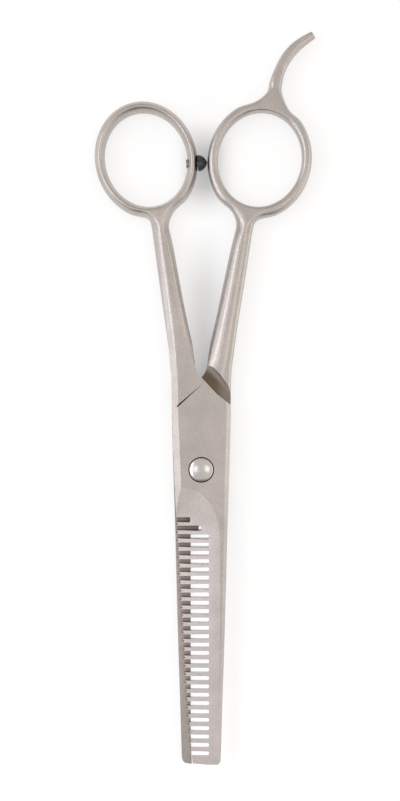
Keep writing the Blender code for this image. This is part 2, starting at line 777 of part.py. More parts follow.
def along_bumper(obj):
    """Lays an object's Z axis along the bumper's axis, with its origin on the ring's outer edge."""
    obj.rotation_euler = (0.0, math.pi / 2, BUMPER_LEAN)
    obj.location = Vector((*BUMPER_PLACE, MIDDLE)) * MM
    return obj


def bumper_head(rubber):
    base, tip = BUMPER_BASE, BUMPER_BASE + BUMPER_LENGTH
    nose = BUMPER_LENGTH - BUMPER_SKIRT
    across, along = BUMPER_ROUNDNESS
    profile = [(0.0, tip)]
    steps = 6
    for i in range(1, steps + 1):
        angle = math.pi / 2 * i / steps
        height = tip - nose + nose * math.cos(angle) ** (2 / along)
        profile.append((BUMPER_RADIUS * math.sin(angle) ** (2 / across), height))
    bore = STUD_RADIUS + STUD_PLAY
    bore_end = STUD_END + 0.25
    profile += [(BUMPER_RADIUS, base), (bore, base)]
    profile += [(bore, bore_end), (0.0, bore_end)]
    return along_bumper(turned("bumper_head", profile, rubber, sides=24))


def bumper_stud(steel):
    head_top = STUD_SEAT - BUMPER_BASE
    head_end = head_top - STUD_HEAD_THICKNESS
    profile = [(0.0, STUD_END), (STUD_RADIUS, STUD_END), (STUD_RADIUS, head_top)]
    profile += [(STUD_HEAD_RADIUS, head_top), (STUD_HEAD_RADIUS, head_end), (0.0, head_end)]
    stud = along_bumper(turned("bumper_stud", profile, steel, sides=24))
    half, far = STUD_SLOT[0] / 2, 2 * STUD_HEAD_RADIUS
    outline = [(-far, -half), (far, -half), (far, half), (-far, half)]
    slot = prism("cut_stud_slot", outline, head_end - 1.0, head_end + STUD_SLOT[1])
    cut(stud, along_bumper(slot))
    return stud


def smooth_shading(obj):
    obj.data.shade_smooth()
    obj.data.set_sharp_from_angle(angle=math.radians(30))


def lowest_and_highest(objects):
    graph = bpy.context.evaluated_depsgraph_get()
    corners = []
    for obj in objects:
        seen = obj.evaluated_get(graph)
        corners += [seen.matrix_world @ vertex.co for vertex in seen.data.vertices]
    low = Vector([min(c[i] for c in corners) for i in range(3)])
    high = Vector([max(c[i] for c in corners) for i in range(3)])
    return low, high


def main():
    clear_scene()
    satin = material("satin_stainless_steel", (0.47, 0.43, 0.40), 0.42, 1.0)
    bright = material("bright_stainless_steel", (0.62, 0.60, 0.58), 0.25, 1.0)
    rubber = material("black_rubber", (0.02, 0.022, 0.026), 0.5, 0.0)

    rear = plain_half(satin)
    front = toothed_half(satin)
    fixed = [rear, pivot_screw(bright), pivot_nut(bright), tension_washer(bright)]
    moving = [front, bumper_head(rubber), bumper_stud(bright)]
    for obj in fixed + moving:
        smooth_shading(obj)

    # The empty carries the pivot's axis. It is placed so that the world's origin is at the bottom
    # centre of the closed pair.
    bpy.context.view_layer.update()
    low, high = lowest_and_highest(fixed + moving)
    axis = bpy.data.objects.new("pivot_axis", None)
    bpy.context.scene.collection.objects.link(axis)
    for obj in list(bpy.context.scene.collection.objects):
        if obj is not axis:
            obj.parent = axis
    axis.location = (-(low.x + high.x) / 2, -(low.y + high.y) / 2, -low.z)


main()
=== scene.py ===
"""Looks of the thinning shears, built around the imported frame.

Lengths are in millimetres, and MM turns them into metres as each mesh is made. Both halves are
described in one shared frame: the pivot's axis is at X = Y = 0, the table is Z = 0, and the half
shows its outer face upwards with its handle at -X. The plain half is then turned over about Y.
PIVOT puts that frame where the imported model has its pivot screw.
"""

import math

import bmesh
import bpy
from mathutils import Matrix, Vector


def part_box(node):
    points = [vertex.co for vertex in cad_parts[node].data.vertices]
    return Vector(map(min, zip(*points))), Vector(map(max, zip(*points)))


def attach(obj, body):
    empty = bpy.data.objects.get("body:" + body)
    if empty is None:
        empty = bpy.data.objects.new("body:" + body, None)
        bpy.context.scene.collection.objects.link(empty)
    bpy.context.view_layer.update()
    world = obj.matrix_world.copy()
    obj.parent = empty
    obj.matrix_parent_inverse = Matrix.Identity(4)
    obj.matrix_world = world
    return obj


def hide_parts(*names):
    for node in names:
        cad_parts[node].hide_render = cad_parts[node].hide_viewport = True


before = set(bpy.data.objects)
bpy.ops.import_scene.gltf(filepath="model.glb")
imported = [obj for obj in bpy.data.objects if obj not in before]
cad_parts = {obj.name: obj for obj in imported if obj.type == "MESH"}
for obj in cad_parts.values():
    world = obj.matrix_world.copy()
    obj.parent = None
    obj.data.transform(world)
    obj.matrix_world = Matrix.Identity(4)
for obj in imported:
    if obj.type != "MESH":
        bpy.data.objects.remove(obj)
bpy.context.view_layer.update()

MM = 0.001
SCREW_LOW, SCREW_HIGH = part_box("pivot_screw")
PIVOT = Vector(((SCREW_LOW.x + SCREW_HIGH.x) / 2, (SCREW_LOW.y + SCREW_HIGH.y) / 2, 0.0))

# Plate thicknesses and heights
THICKNESS = 5.0  # both blades together at the pivot
MIDDLE = THICKNESS / 2
SLIDE_GAP = 0.1  # between the two inner faces
INNER_FACE = MIDDLE + SLIDE_GAP / 2  # of the half that lies on top
HANDLE_TOP = 4.75
HANDLE_BOTTOM = 0.25

# Blades
TIP_Y = -73.9
TAPER_START_Y = -10.0  # from here to the tip the blades get thinner
TIP_OUTER_HEIGHT = 4.25
TOOTH_PITCH = 2.084
FIRST_GAP_Y = -12.5
GAP_COUNT = 29  # 28 teeth and the end block
GAP_OUTER_WIDTH = 1.32  # of a gap, this far above the inner face
GAP_OUTER_HEIGHT = 1.5
GAP_INNER_WIDTHS = ((0, 0.68), (8, 0.92), (28, 1.06))  # gap number, width at the inner face
GAP_ROOTS = (-2.74, 0.06)  # the first two gaps are shorter
GAP_ROOT_X = 1.9  # all the other gaps end here
GAP_CORNER = 0.25  # rounding radius in a gap's root
TOOTH_NOTCH_DEPTH = 0.4
TOOTH_NOTCH_WIDTH = 0.5
CUTTING_EDGE_X = 2.64
CUTTING_EDGE_HEIGHT = 0.2  # thickness left at the plain cutting edge
FACE_SLOPE = 0.15  # of the ground face behind the teeth
# The line where a ground face leaves the outer face: a quarter of an ellipse, then along the spine
GRIND_CENTRE = (-4.7, -16.1)
GRIND_RISE = 11.7  # how far the ellipse reaches towards the pivot
GRIND_START = 100.0  # degrees on the ellipse, where the line starts, outside the left edge
GRIND_SPINE = ((-28.0, 0.1), (-42.0, 0.05), (-60.0, -0.35), (-78.0, -0.6))  # Y, and X from the start
TOOTHED_SPINE_X = 4.64
PLAIN_SPINE_X = 4.9
# The ground faces are cut down to a line at this X, from this Y on
TOOTHED_FOOT = (-8.5, -17.0)
PLAIN_FOOT = (CUTTING_EDGE_X, -17.5)
# Ends of the blades, from left to right, with the radius of the rounded corner
TOOTHED_TIP = ((-2.24, 0.57), (1.2, 0.37), (4.86, 0.52))  # Y is counted from TIP_Y
TOOTHED_TIP_RADIUS = 0.9
PLAIN_TIP = ((1.9, 0.25), (2.3, 0.22), (4.75, 0.55))
PLAIN_TIP_RADIUS = 1.3
# Heel of the plain blade: the step behind the cutting edge, with the radius of each corner
HEEL_START = (-12.0, -1.9)  # outside the blade's left edge
HEEL = (((0.64, -13.9), 0.6), ((0.64, -15.8), 0.5), ((CUTTING_EDGE_X, -15.9), 0.4))
EDGE_END_Y = -66.0  # from here to the tip the cutting edge curves in
EDGE_AIM = (2.29, -75.9)  # where it would end, past the tip
# Engraved line on the ricasso: ends in X and Y, half width and depth at each end
GROOVE = (((0.26, 21.3), 0.25, 0.02), ((-6.4, 15.35), 0.5, 0.3))

# Pivot
HEAD_RADIUS = 3.0
HEAD_BOTTOM = 4.25
HEAD_RIM = 5.0
HEAD_TOP = 5.75
DOME_SPREAD = 1.1  # half axis of the ellipsoid that the dome is the cap of, in head radii
SHAFT_RADIUS = 1.5
SHAFT_END = 0.3
HOLE_RADIUS = 1.8
COUNTERBORE_RADIUS = 3.2
COUNTERBORE_FLOOR = 3.45
CHAMFER = 0.2
WASHER_BORE = 1.85
WASHER_RADIUS = 2.85
WASHER_THICKNESS = 0.3
WASHER_DISH = 0.2
WASHER_BOTTOM = 3.6
NUT_RADIUS = 3.4
NUT_BOTTOM = 0.2
NUT_TOP = 1.25
NUT_RECESS_RADIUS = 3.65
NUT_RECESS_TOP = 1.4
NUT_BORE = 1.75
KEY_HOLE_RADIUS = 0.45
KEY_HOLE_TOP = 0.9
KEY_HOLE_X = 2.55

# Rubber bumper on the thumb ring, along an axis in the plane of the handle
BUMPER_PLACE = (-1.05, 76.5)  # on the ring's outer edge
BUMPER_LEAN = math.radians(4)
BUMPER_RADIUS = 2.0
BUMPER_LENGTH = 2.35
BUMPER_SKIRT = 0.45  # straight part next to the ring, below the blunt nose
BUMPER_ROUNDNESS = (1.6, 1.7)  # of the nose, across and along: 2 is a dome, 1 a cone
STUD_RADIUS = 0.6
STUD_HEAD_RADIUS = 1.1
BAND_WIDTH = 2.37  # of the ring where the stud goes through it
STUD_SEAT = 0.5 - BAND_WIDTH  # place of the flat that the stud's head sits on
STUD_PLAY = 0.2  # round the stud and its head
STUD_END = 1.2  # how far the stud reaches into the rubber
STUD_HEAD_THICKNESS = 0.7
STUD_SLOT = (0.4, 0.3)  # width and depth
BUMPER_BASE = 0.15  # distance from the ring to the rubber, and from the seat to the stud's head

# Rings: centre, short and long half axes, and lean in degrees, of the opening and of the outside
THUMB_RING = (((-13.77, 77.35), (10.25, 11.79), 14.0), ((-13.78, 77.35), (12.72, 14.72), 15.0))
FINGER_RING = (((-14.65, 77.3), (10.42, 11.74), 10.0), ((-14.58, 77.2), (12.98, 14.75), 11.0))
RING_STEP = 15.0  # degrees between two sections of a ring
# A ring's section: across the band (+1 is outside) and up (+1 is the top)
BAND_SECTION = (
    (-0.05, 1.0), (0.66, 0.62), (1.0, 0.0), (0.8, -0.66),
    (0.0, -0.98), (-0.8, -0.72), (-1.0, 0.0), (-0.68, 0.58),
)
THUMB_NECK = (-107.0, -90.0, -73.0)  # where the shank leaves the ring, in degrees
FINGER_NECK = (-104.0, -87.0, -70.0)
REST_ROOT = (72.0, 92.0, 112.0)  # where the finger rest leaves its ring

# Stations of a shank: Y, left edge, right edge, and how flat it is, from 0 (round) to 1 (plate)
THUMB_SHANK = (
    (61.2, -12.5, -8.05, 0.0),
    (57.2, -11.89, -7.31, 0.1),
    (47.2, -10.54, -5.44, 0.35),
    (37.2, -9.14, -3.51, 0.6),
    (30.5, -8.2, -2.0, 0.85),
)
FINGER_SHANK = (
    (61.2, -13.25, -8.75, 0.0),
    (57.2, -12.41, -7.89, 0.1),
    (47.2, -10.91, -5.71, 0.35),
    (37.2, -9.3, -3.6, 0.6),
    (30.5, -8.35, -2.0, 0.85),
)
# Stations of the ricasso and the blade: Y, left edge, right edge
PLATE = (
    (26.5, -7.8, -0.8),
    (23.5, -7.5, 1.6),
    (20.5, -7.38, 5.0),
    (17.5, -7.35, 6.9),
    (14.4, -7.31, 7.26),
    (8.4, -7.11, 7.14),
    (-3.6, -6.64, 6.79),
    (-12.6, -6.22, 6.5),
    (-24.0, -5.6, 6.22),
    (-42.6, -4.5, 5.72),
    (-58.8, -3.61, 5.2),
    (-69.5, -2.54, 4.9),
    (-76.0, -2.0, 4.7),
)
# The finger rest's centre line and its width at each point
REST_PATH = (
    ((-18.3, 93.9), 4.0),
    ((-18.6, 96.2), 3.25),
    ((-19.4, 99.0), 2.85),
    ((-20.8, 102.0), 2.8),
    ((-22.7, 104.6), 2.75),
    ((-25.1, 106.7), 2.5),
    ((-27.9, 108.5), 2.0),
)
REST_ROOT_HEIGHT = 3.9
REST_TIP_HEIGHT = 2.6
# Its section: across and up, in halves of its width and height. The lower side, which is turned
# over to the top of the pair, is the flatter one.
REST_SECTION = (
    (-0.55, 0.78), (0.0, 1.0), (0.55, 0.78), (0.86, 0.52), (1.0, 0.0), (0.87, -0.58),
    (0.55, -0.92), (0.0, -1.0), (-0.55, -0.92), (-0.87, -0.58), (-1.0, 0.0), (-0.86, 0.52),
)

# Bevels along the outer face of the ricasso and, after the taper's start, of the blade
LEFT_BEVELS = (1.6, 1.2)
RIGHT_BEVELS = (0.95, 0.75)
BEVEL_FALL = 0.95
RIDGE_SHARPNESS = 0.45  # of the line along the handle's inner side
# A round shank: its bevels' width and its sides' inset as shares of its own width, how far its
# edges and its sides lie below its top, and its top below the ring's
ROUND_BEVEL = 0.30
ROUND_INSET = 0.11
ROUND_FALL = 0.3
ROUND_SIDE_FALL = 1.3
ROUND_TOP_DROP = 0.1
# The lower side of every section: share of the width from the left, and height above the bottom
UNDERSIDE = ((0.89, 1.2), (0.7, 0.35), (0.5, 0.0), (0.27, 0.08), (0.04, 0.85))

# Crotch: the shank's inner edge turns into the shoulder's diagonal edge
CROTCH_START = (-2.7, 34.5)
CROTCH_CORNER = (-1.2, 24.2)
CROTCH_RADIUS = 5.0
APEX = (0.2, 22.75)  # where the two halves' edges cross at the crotch
SHOULDER_BEND = (4.1, 18.6)
SHOULDER_END = (6.84, 16.5)
SCOOP_RADIUS = 4.6  # of the hollow where the full handle drops to one plate

ROUND_SIDES = 96
CUT_BELOW = -3.0  # heights well below and well above the shears, for the cutters
CUT_ABOVE = 8.0
CUT_ASIDE = 12.0  # and well outside a blade

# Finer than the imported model
FORGING_LEVELS = 3  # of subdivision
FITTING_ROUNDS = 12  # of moving a cage until its smooth surface meets the stations
THREAD_TOP = 1.6
THREAD_PITCH = 0.35
THREAD_DEPTH = 0.16

SHARP_ANGLE = math.radians(30)  # edges that turn by more than this look sharp

# How the steel's polishing marks are squeezed along X, Y and Z
ALL_WAYS = (900.0, 900.0, 900.0)
LENGTHWISE = (1500.0, 60.0, 1500.0)
CROSSWISE = (60.0, 1500.0, 1500.0)

# Painted highlights along edges, painted shade in hollows, and the steel's tone, stains and soiling
EDGE_HIGHLIGHT_RADIUS = 0.0001  # m, how far the painted highlight along an edge reaches from it
EDGE_HIGHLIGHT_LIGHTER = 1.5  # how much lighter the painted edge highlight is than the steel
CLOUD_SHADES = (0.93, 1.06)  # of the steel's tint, in its dull and its clean patches
STAIN_SHADE = (0.62, 0.47, 0.36)  # of the steel's tint, in its stains
UNEVEN_GLOSS = (0.12, 0.14)  # how far the patches and the polishing marks change the roughness
STEEL_RELIEF = 0.00003  # m, height of the grain and the polishing marks
RECESS_SHADE_REACH = 0.004  # m, how near a wall has to be to darken the steel as painted shade
SHOULDER_SHADE_WAVES = 0.9  # how unevenly the hollow shoulder's soiling and painted shade ends
SHOULDER_SHADE_SIDE = (3.0, 6.5)  # distance from the pivot along X over which that darkening thins out
RUBBER_RELIEF = 0.0003  # m

# Camera: what it looks at, from the pivot, its distance above the shears and the height it frames
VIEW_CENTRE = (-0.31, 17.2)
VIEW_DISTANCE = 330.0
VIEW_HEIGHT = 200.25

# Light: a white tent, whose strength depends on how far a direction points along Y
TENT_COLOUR = (1.0, 0.965, 0.935)
TENT_STRENGTH = ((-0.95, 0.22), (-0.6, 0.84), (0.65, 0.84), (0.95, 0.6))
# Softboxes: name, azimuth, elevation, width and height (m), radiance and colour
SOFTBOX_DISTANCE = 0.9  # m
SOFTBOXES = (
    ("left_low_softbox", 180, 14, (1.0, 0.2), 1.1, (0.9, 0.95, 1.1)),
    ("left_softbox", 180, 41, (1.0, 0.24), 2.2, (0.94, 0.97, 1.06)),
    ("left_high_softbox", 180, 66, (0.35, 0.35), 0.85, (1.0, 1.0, 1.1)),
    ("right_high_softbox", 0, 66, (0.32, 0.32), 0.92, (1.0, 0.96, 0.85)),
    ("right_low_softbox", 0, 12, (1.0, 0.25), 1.05, (1.0, 1.0, 0.95)),
)
# The table, which is lit from below, and its glow far from the shears
TABLE_HALF = 3.0  # m, from its middle to its edge
TABLE_WHITE = 0.33
TABLE_GLOW = 0.7
# Its glow on a line between the handles, a painted shadow between the shanks and the rings and painted
# light under the blades: place along Y from the pivot, and glow
SHADOW_AND_LIGHT_LINE = (
    (-20.0, 0.95), (-6.0, 0.62), (22.0, 0.33), (36.0, 0.38), (45.0, 0.43), (55.0, 0.6), (62.0, 0.7),
    (66.0, 0.6), (71.0, 0.35), (80.0, 0.37), (88.0, 0.68),
)
SHADOW_AND_LIGHT_LINE_X = 1.0  # of that line, from the pivot
SHADOW_AND_LIGHT_LINE_WIDTH = (0.0, 8.0)  # from the line, where its glow starts to change and where it ends


def turned_over(point):
    """The same point on a half that is turned over about the Y axis."""
    x, y, z = point
    return (-x, y, THICKNESS - z)


def along_bumper(point):
    """A point of a piece that is turned about Z, laid along the bumper's axis."""
    out, side, up = point[2], point[1], -point[0]
    cos, sin = math.cos(BUMPER_LEAN), math.sin(BUMPER_LEAN)
    x, y = BUMPER_PLACE
    return (x + out * cos - side * sin, y + out * sin + side * cos, MIDDLE + up)


def as_is(point):
    """The same point, for what isn't turned over."""
    return point


def mesh_object(name, points, faces, surface=None, place=as_is):
    """An object from points in millimetres, which place puts in the pivot's frame."""
    mesh = bpy.data.meshes.new(name)
    mesh.from_pydata([PIVOT + Vector(place(p)) * MM for p in points], [], faces)
    obj = bpy.data.objects.new(name, mesh)
    bpy.context.scene.collection.objects.link(obj)
    if surface:
        mesh.materials.append(surface)
    return obj


def apply_modifiers(obj):
    graph = bpy.context.evaluated_depsgraph_get()
    made = bpy.data.meshes.new_from_object(obj.evaluated_get(graph))
    obj.modifiers.clear()
    obj.data = made


def cut(obj, cutter, finish=None):
    """Takes the cutter's shape out of obj for good. The new faces get the finish."""
    if finish:
        cutter.data.materials.append(finish)
    modifier = obj.modifiers.new("cut", "BOOLEAN")
    modifier.operation = "DIFFERENCE"
    modifier.solver = "EXACT"
    modifier.material_mode = "TRANSFER"
    modifier.object = cutter
    apply_modifiers(obj)
    bpy.data.objects.remove(cutter)


def solid_faces(count, first=0):
    """Faces of a solid between two loops of points: its ends, and then a side for each point."""
    low, high = (list(range(start, start + count)) for start in (first, first + count))
    ahead = [*range(1, count), 0]
    return [low[::-1], high] + [[low[i], low[j], high[j], high[i]] for i, j in enumerate(ahead)]


def prism(name, outline, low, high, place=as_is):
    """A prism over a counterclockwise outline in X and Y."""
    points = [(x, y, low) for x, y in outline] + [(x, y, high) for x, y in outline]
    return mesh_object(name, points, solid_faces(len(outline)), place=place)


def turned(name, profile, surface=None, sides=ROUND_SIDES, place=as_is):
    """A solid turned about Z. The profile runs from the axis or the bore's top outwards and down.

    It is a list of (radius, height) pairs that goes clockwise as seen with the axis on the left.
    """
    points, rings = [], []
    for radius, height in profile:
        ring = []
        for i in range(1 if radius == 0 else sides):
            angle = 2 * math.pi * i / sides
            ring.append(len(points))
            points.append((radius * math.cos(angle), radius * math.sin(angle), height))
        rings.append(ring)
    faces = []
    closed = profile[0][0] > 0
    for k in range(len(rings) if closed else len(rings) - 1):
        upper, lower = rings[k], rings[(k + 1) % len(rings)]
        for i in range(sides):
            j = (i + 1) % sides
            if len(upper) == 1:
                faces.append([upper[0], lower[i], lower[j]])
            elif len(lower) == 1:
                faces.append([upper[i], lower[0], upper[j]])
            else:
                faces.append([upper[i], lower[i], lower[j], upper[j]])
    return mesh_object(name, points, faces, surface, place)


def cylinder(name, radius, low, high, sides=ROUND_SIDES, place=as_is):
    return turned(name, [(0, high), (radius, high), (radius, low), (0, low)], None, sides, place)


def rounded_corner(before, corner, after, radius, steps=6):
    """Points of the arc that rounds the corner between two straight edges."""
    corner = Vector(corner)
    to_before = (Vector(before) - corner).normalized()
    to_after = (Vector(after) - corner).normalized()
    half = to_before.angle(to_after) / 2
    centre = corner + (to_before + to_after).normalized() * (radius / math.sin(half))
    start = corner + to_before * (radius / math.tan(half)) - centre
    end = corner + to_after * (radius / math.tan(half)) - centre
    arc = start.angle_signed(end)
    points = []
    for i in range(steps + 1):
        spoke = start.copy()
        spoke.rotate(Matrix.Rotation(-arc * i / steps, 2))
        points.append(tuple(centre + spoke))
    return points


# ---- The forged halves: one subdivision cage each, whose surface passes through its stations


class Cage:
    """Points, faces and creases of a half before it is smoothed."""

    def __init__(self):
        self.points = []
        self.faces = []
        self.creases = {}
        self.level = set()  # points whose height is kept, so that flat faces stay flat

    def add(self, points):
        first = len(self.points)
        self.points += [tuple(p) for p in points]
        return list(range(first, len(self.points)))


def ring_angles(*joints):
    """Angles of the ring's sections: those of the joints, and even steps between the joints."""
    angles = []
    for k, joint in enumerate(joints):
        angles += list(joint)
        ahead = joints[(k + 1) % len(joints)][0] + (360.0 if k + 1 == len(joints) else 0.0)
        steps = max(1, round((ahead - joint[-1]) / RING_STEP))
        angles += [joint[-1] + (ahead - joint[-1]) * i / steps for i in range(1, steps)]
    return angles


def add_ring(cage, ring, *joints):
    """Adds a finger ring and leaves an opening in its outer side at each joint.

    Returns one loop of points for each joint, in the order that section_loop gives.
    """
    angles = ring_angles(*joints)
    half_height = (HANDLE_TOP - HANDLE_BOTTOM) / 2
    rows = []
    for degrees in angles:
        angle = math.radians(degrees)
        across, along = math.cos(angle), math.sin(angle)
        edges = []
        for centre, (short, long), lean in ring:
            offset = Vector((short * across, long * along))
            offset.rotate(Matrix.Rotation(math.radians(lean), 2))
            edges.append(Vector(centre) + offset)
        middle = (edges[0] + edges[1]) / 2
        half_band = (edges[1] - edges[0]) / 2
        row = []
        for out, up in BAND_SECTION:
            spot = middle + half_band * out
            row.append((spot.x, spot.y, MIDDLE + up * half_height))
        rows.append(cage.add(row))
    sides = len(BAND_SECTION)
    starts = [angles.index(joint[0]) for joint in joints]
    open_steps = {start + i for start in starts for i in (0, 1)}
    for j in range(len(rows)):
        near, far = rows[j], rows[(j + 1) % len(rows)]
        for k in range(sides):
            if j in open_steps and k < 4:
                continue
            n = (k + 1) % sides
            cage.faces.append([near[k], near[n], far[n], far[k]])
    loops = []
    for start in starts:
        a, b, c = rows[start], rows[start + 1], rows[start + 2]
        loops.append([a[0], b[0], c[0], c[1], c[2], c[3], c[4], b[4], a[4], a[3], a[2], a[1]])
    return loops


def add_loft(cage, loop, sections, sharpness, creased=(), ridges=()):
    """Continues from a loop of twelve points through the sections, and closes the end.

    The creased lines get sharper with the sections' sharpness, and the ridges are sharp all along.
    """
    for section, sharp in zip(sections, sharpness):
        fresh = cage.add(section)
        for i in range(len(loop)):
            j = (i + 1) % len(loop)
            cage.faces.append([loop[i], fresh[i], fresh[j], loop[j]])
        for i in creased:
            cage.creases[frozenset((loop[i], fresh[i]))] = sharp
        for i in ridges:
            cage.creases[frozenset((loop[i], fresh[i]))] = RIDGE_SHARPNESS
        loop = fresh
    inside = []
    for left, right in ((11, 3), (10, 4), (9, 5)):
        a, b = Vector(cage.points[loop[left]]), Vector(cage.points[loop[right]])
        inside += cage.add([(a + b) / 2])
    grid = [
        [loop[0], loop[1], loop[2]],
        [loop[11], inside[0], loop[3]],
        [loop[10], inside[1], loop[4]],
        [loop[9], inside[2], loop[5]],
        [loop[8], loop[7], loop[6]],
    ]
    for r in range(4):
        for c in range(2):
            cage.faces.append([grid[r][c], grid[r + 1][c], grid[r + 1][c + 1], grid[r][c + 1]])
    for i in range(len(loop)):
        cage.creases[frozenset((loop[i], loop[(i + 1) % len(loop)]))] = 1.0


def outer_height(y):
    """Height of the outer face: level at the pivot, and falling to the tip."""
    run = (TAPER_START_Y - y) / (TAPER_START_Y - TIP_Y)
    return THICKNESS + (TIP_OUTER_HEIGHT - THICKNESS) * max(0.0, run)


def plate_section(y, left, right, flat):
    """Twelve points round a shank, ricasso or blade, clockwise from the outer face's left."""
    width = right - left

    def mix(round_value, flat_value):
        """A value between that of a round section and that of a bevelled plate."""
        return round_value + (flat_value - round_value) * flat

    top = mix(HANDLE_TOP - ROUND_TOP_DROP, outer_height(y))
    part = 0 if y > TAPER_START_Y else 1
    left_bevel = mix(ROUND_BEVEL * width, LEFT_BEVELS[part])
    right_bevel = mix(ROUND_BEVEL * width, RIGHT_BEVELS[part])
    inset = mix(ROUND_INSET * width, 0.0)
    fall = mix(ROUND_FALL, 0.0)
    side = top - mix(ROUND_SIDE_FALL, BEVEL_FALL)
    return [
        (left + left_bevel, y, top - fall),
        ((left + right) / 2, y, top),
        (right - right_bevel, y, top - fall),
        (right - inset, y, side),
        (right, y, MIDDLE),
        *((left + across * width, y, HANDLE_BOTTOM + up) for across, up in UNDERSIDE),
        (left, y, MIDDLE),
        (left + inset, y, side),
    ]


def rest_section(centre, ahead, width, height):
    """Twelve points round the finger rest. ahead is the way its centre line runs."""
    side = Vector((-ahead.y, ahead.x)) * (width / 2)
    return [
        (centre.x + side.x * across, centre.y + side.y * across, MIDDLE + up * height / 2)
        for across, up in REST_SECTION
    ]


def add_finger_rest(cage, loop):
    sections = []
    centres = [Vector(point) for point, _ in REST_PATH]
    last = len(centres) - 1
    for i, (_, width) in enumerate(REST_PATH):
        ahead = (centres[min(i + 1, last)] - centres[max(i - 1, 0)]).normalized()
        height = REST_ROOT_HEIGHT + (REST_TIP_HEIGHT - REST_ROOT_HEIGHT) * i / last
        sections.append(rest_section(centres[i], ahead, width, height))
    add_loft(cage, loop, sections, [0.0] * len(sections))


def make_cage(ring, neck, shank, rest_root=None):
    cage = Cage()
    joints = (neck, rest_root) if rest_root else (neck,)
    loops = add_ring(cage, ring, *joints)
    stations = list(shank) + [(y, left, right, 1.0) for y, left, right in PLATE]
    sections = [plate_section(*station) for station in stations]
    first_plate = len(cage.points) + len(shank) * len(sections[0])
    add_loft(cage, loops[0], sections, [flat**2 for *_, flat in stations], (0, 2, 3, 11), (8,))
    cage.level.update(range(first_plate, len(cage.points)))
    if rest_root:
        add_finger_rest(cage, loops[1])
    return cage


def add_smoothing(obj, levels):
    modifier = obj.modifiers.new("smooth", "SUBSURF")
    modifier.levels = levels
    modifier.render_levels = levels


def forged_half(name, cage, surface, place=as_is):
    """The smoothed half. Its cage is moved until the smooth surface meets the cage's stations."""
    obj = mesh_object(name, cage.points, cage.faces, surface, place)
    mesh = obj.data
    sharp = mesh.attributes.new("crease_edge", "FLOAT", "EDGE")
    for edge in mesh.edges:
        sharp.data[edge.index].value = cage.creases.get(frozenset(edge.vertices), 0.0)
    add_smoothing(obj, 1)
    wanted = [vertex.co.copy() for vertex in mesh.vertices]
    for _ in range(FITTING_ROUNDS):
        graph = bpy.context.evaluated_depsgraph_get()
        smooth = obj.evaluated_get(graph).data
        moves = [spot - smooth.vertices[i].co for i, spot in enumerate(wanted)]
        for i, move in enumerate(moves):
            if i in cage.level:
                move.z = 0.0
            mesh.vertices[i].co += move
        mesh.update()
        obj.update_tag()
        bpy.context.view_layer.update()
    obj.modifiers["smooth"].levels = FORGING_LEVELS
    obj.modifiers["smooth"].render_levels = FORGING_LEVELS
    return obj


# ---- Cutters that both halves share


def inner_side_cutter(name, place, flat_finish, hollow_finish):
    """Takes away the inner side below the handle, and leaves a hollow shoulder.

    The shoulder lies along the other half's diagonal edge.
    """
    shoulder = (Vector(SHOULDER_BEND) - Vector(CROTCH_CORNER)).normalized()
    along = Vector((-shoulder.x, shoulder.y))
    handle_side = Vector((along.y, -along.x))
    start = Vector((-APEX[0], APEX[1]))
    steps = 24
    past_blade = TIP_Y * 1.5
    past_table = 0.5
    reach = math.acos((SCOOP_RADIUS - INNER_FACE - past_table) / SCOOP_RADIUS)
    profile = [(past_blade, INNER_FACE), (0.0, INNER_FACE)]
    for i in range(1, steps + 1):
        angle = reach * i / steps
        fall = SCOOP_RADIUS * (1 - math.cos(angle))
        profile.append((SCOOP_RADIUS * math.sin(angle), INNER_FACE - fall))
    profile += [(profile[-1][0], CUT_BELOW), (past_blade, CUT_BELOW)]
    points = []
    for far in (past_blade, -past_blade):
        for out, height in profile:
            spot = start + handle_side * out + along * far
            points.append((spot.x, spot.y, height))
    cutter = mesh_object(name, points, solid_faces(len(profile)), flat_finish, place)
    cutter.data.materials.append(hollow_finish)
    first_hollow = 3  # after the two ends and the flat
    for face in cutter.data.polygons[first_hollow:first_hollow + steps]:
        face.material_index = 1
    return outwards(cutter)


def outwards(obj):
    """Turns the faces of a closed mesh outwards."""
    work = bmesh.new()
    work.from_mesh(obj.data)
    bmesh.ops.recalc_face_normals(work, faces=work.faces)
    work.to_mesh(obj.data)
    work.free()
    return obj


def crotch_cutter(name, place):
    """Trims the crotch and the shoulder's diagonal edge."""
    outline = rounded_corner(CROTCH_START, CROTCH_CORNER, SHOULDER_BEND, CROTCH_RADIUS, 24)
    slope = (SHOULDER_END[1] - SHOULDER_BEND[1]) / (SHOULDER_END[0] - SHOULDER_BEND[0])
    outside = (CUT_ASIDE, SHOULDER_END[1] + slope * (CUT_ASIDE - SHOULDER_END[0]))
    outline = [(CUT_ASIDE, CROTCH_START[1]), CROTCH_START] + outline + [SHOULDER_BEND, outside]
    return outwards(prism(name, outline, CUT_BELOW, CUT_ABOVE, place))


def grind_boundary(spine_x):
    """The line where a ground face leaves the outer face, from the left edge to the tip."""
    centre_x, centre_y = GRIND_CENTRE
    half_width = spine_x - centre_x
    steps = 48
    points = []
    for i in range(steps + 1):
        angle = math.radians(GRIND_START * (1 - i / steps))
        x, y = half_width * math.cos(angle), GRIND_RISE * math.sin(angle)
        points.append((centre_x + x, centre_y + y))
    return points + [(spine_x + shift, y) for y, shift in GRIND_SPINE]


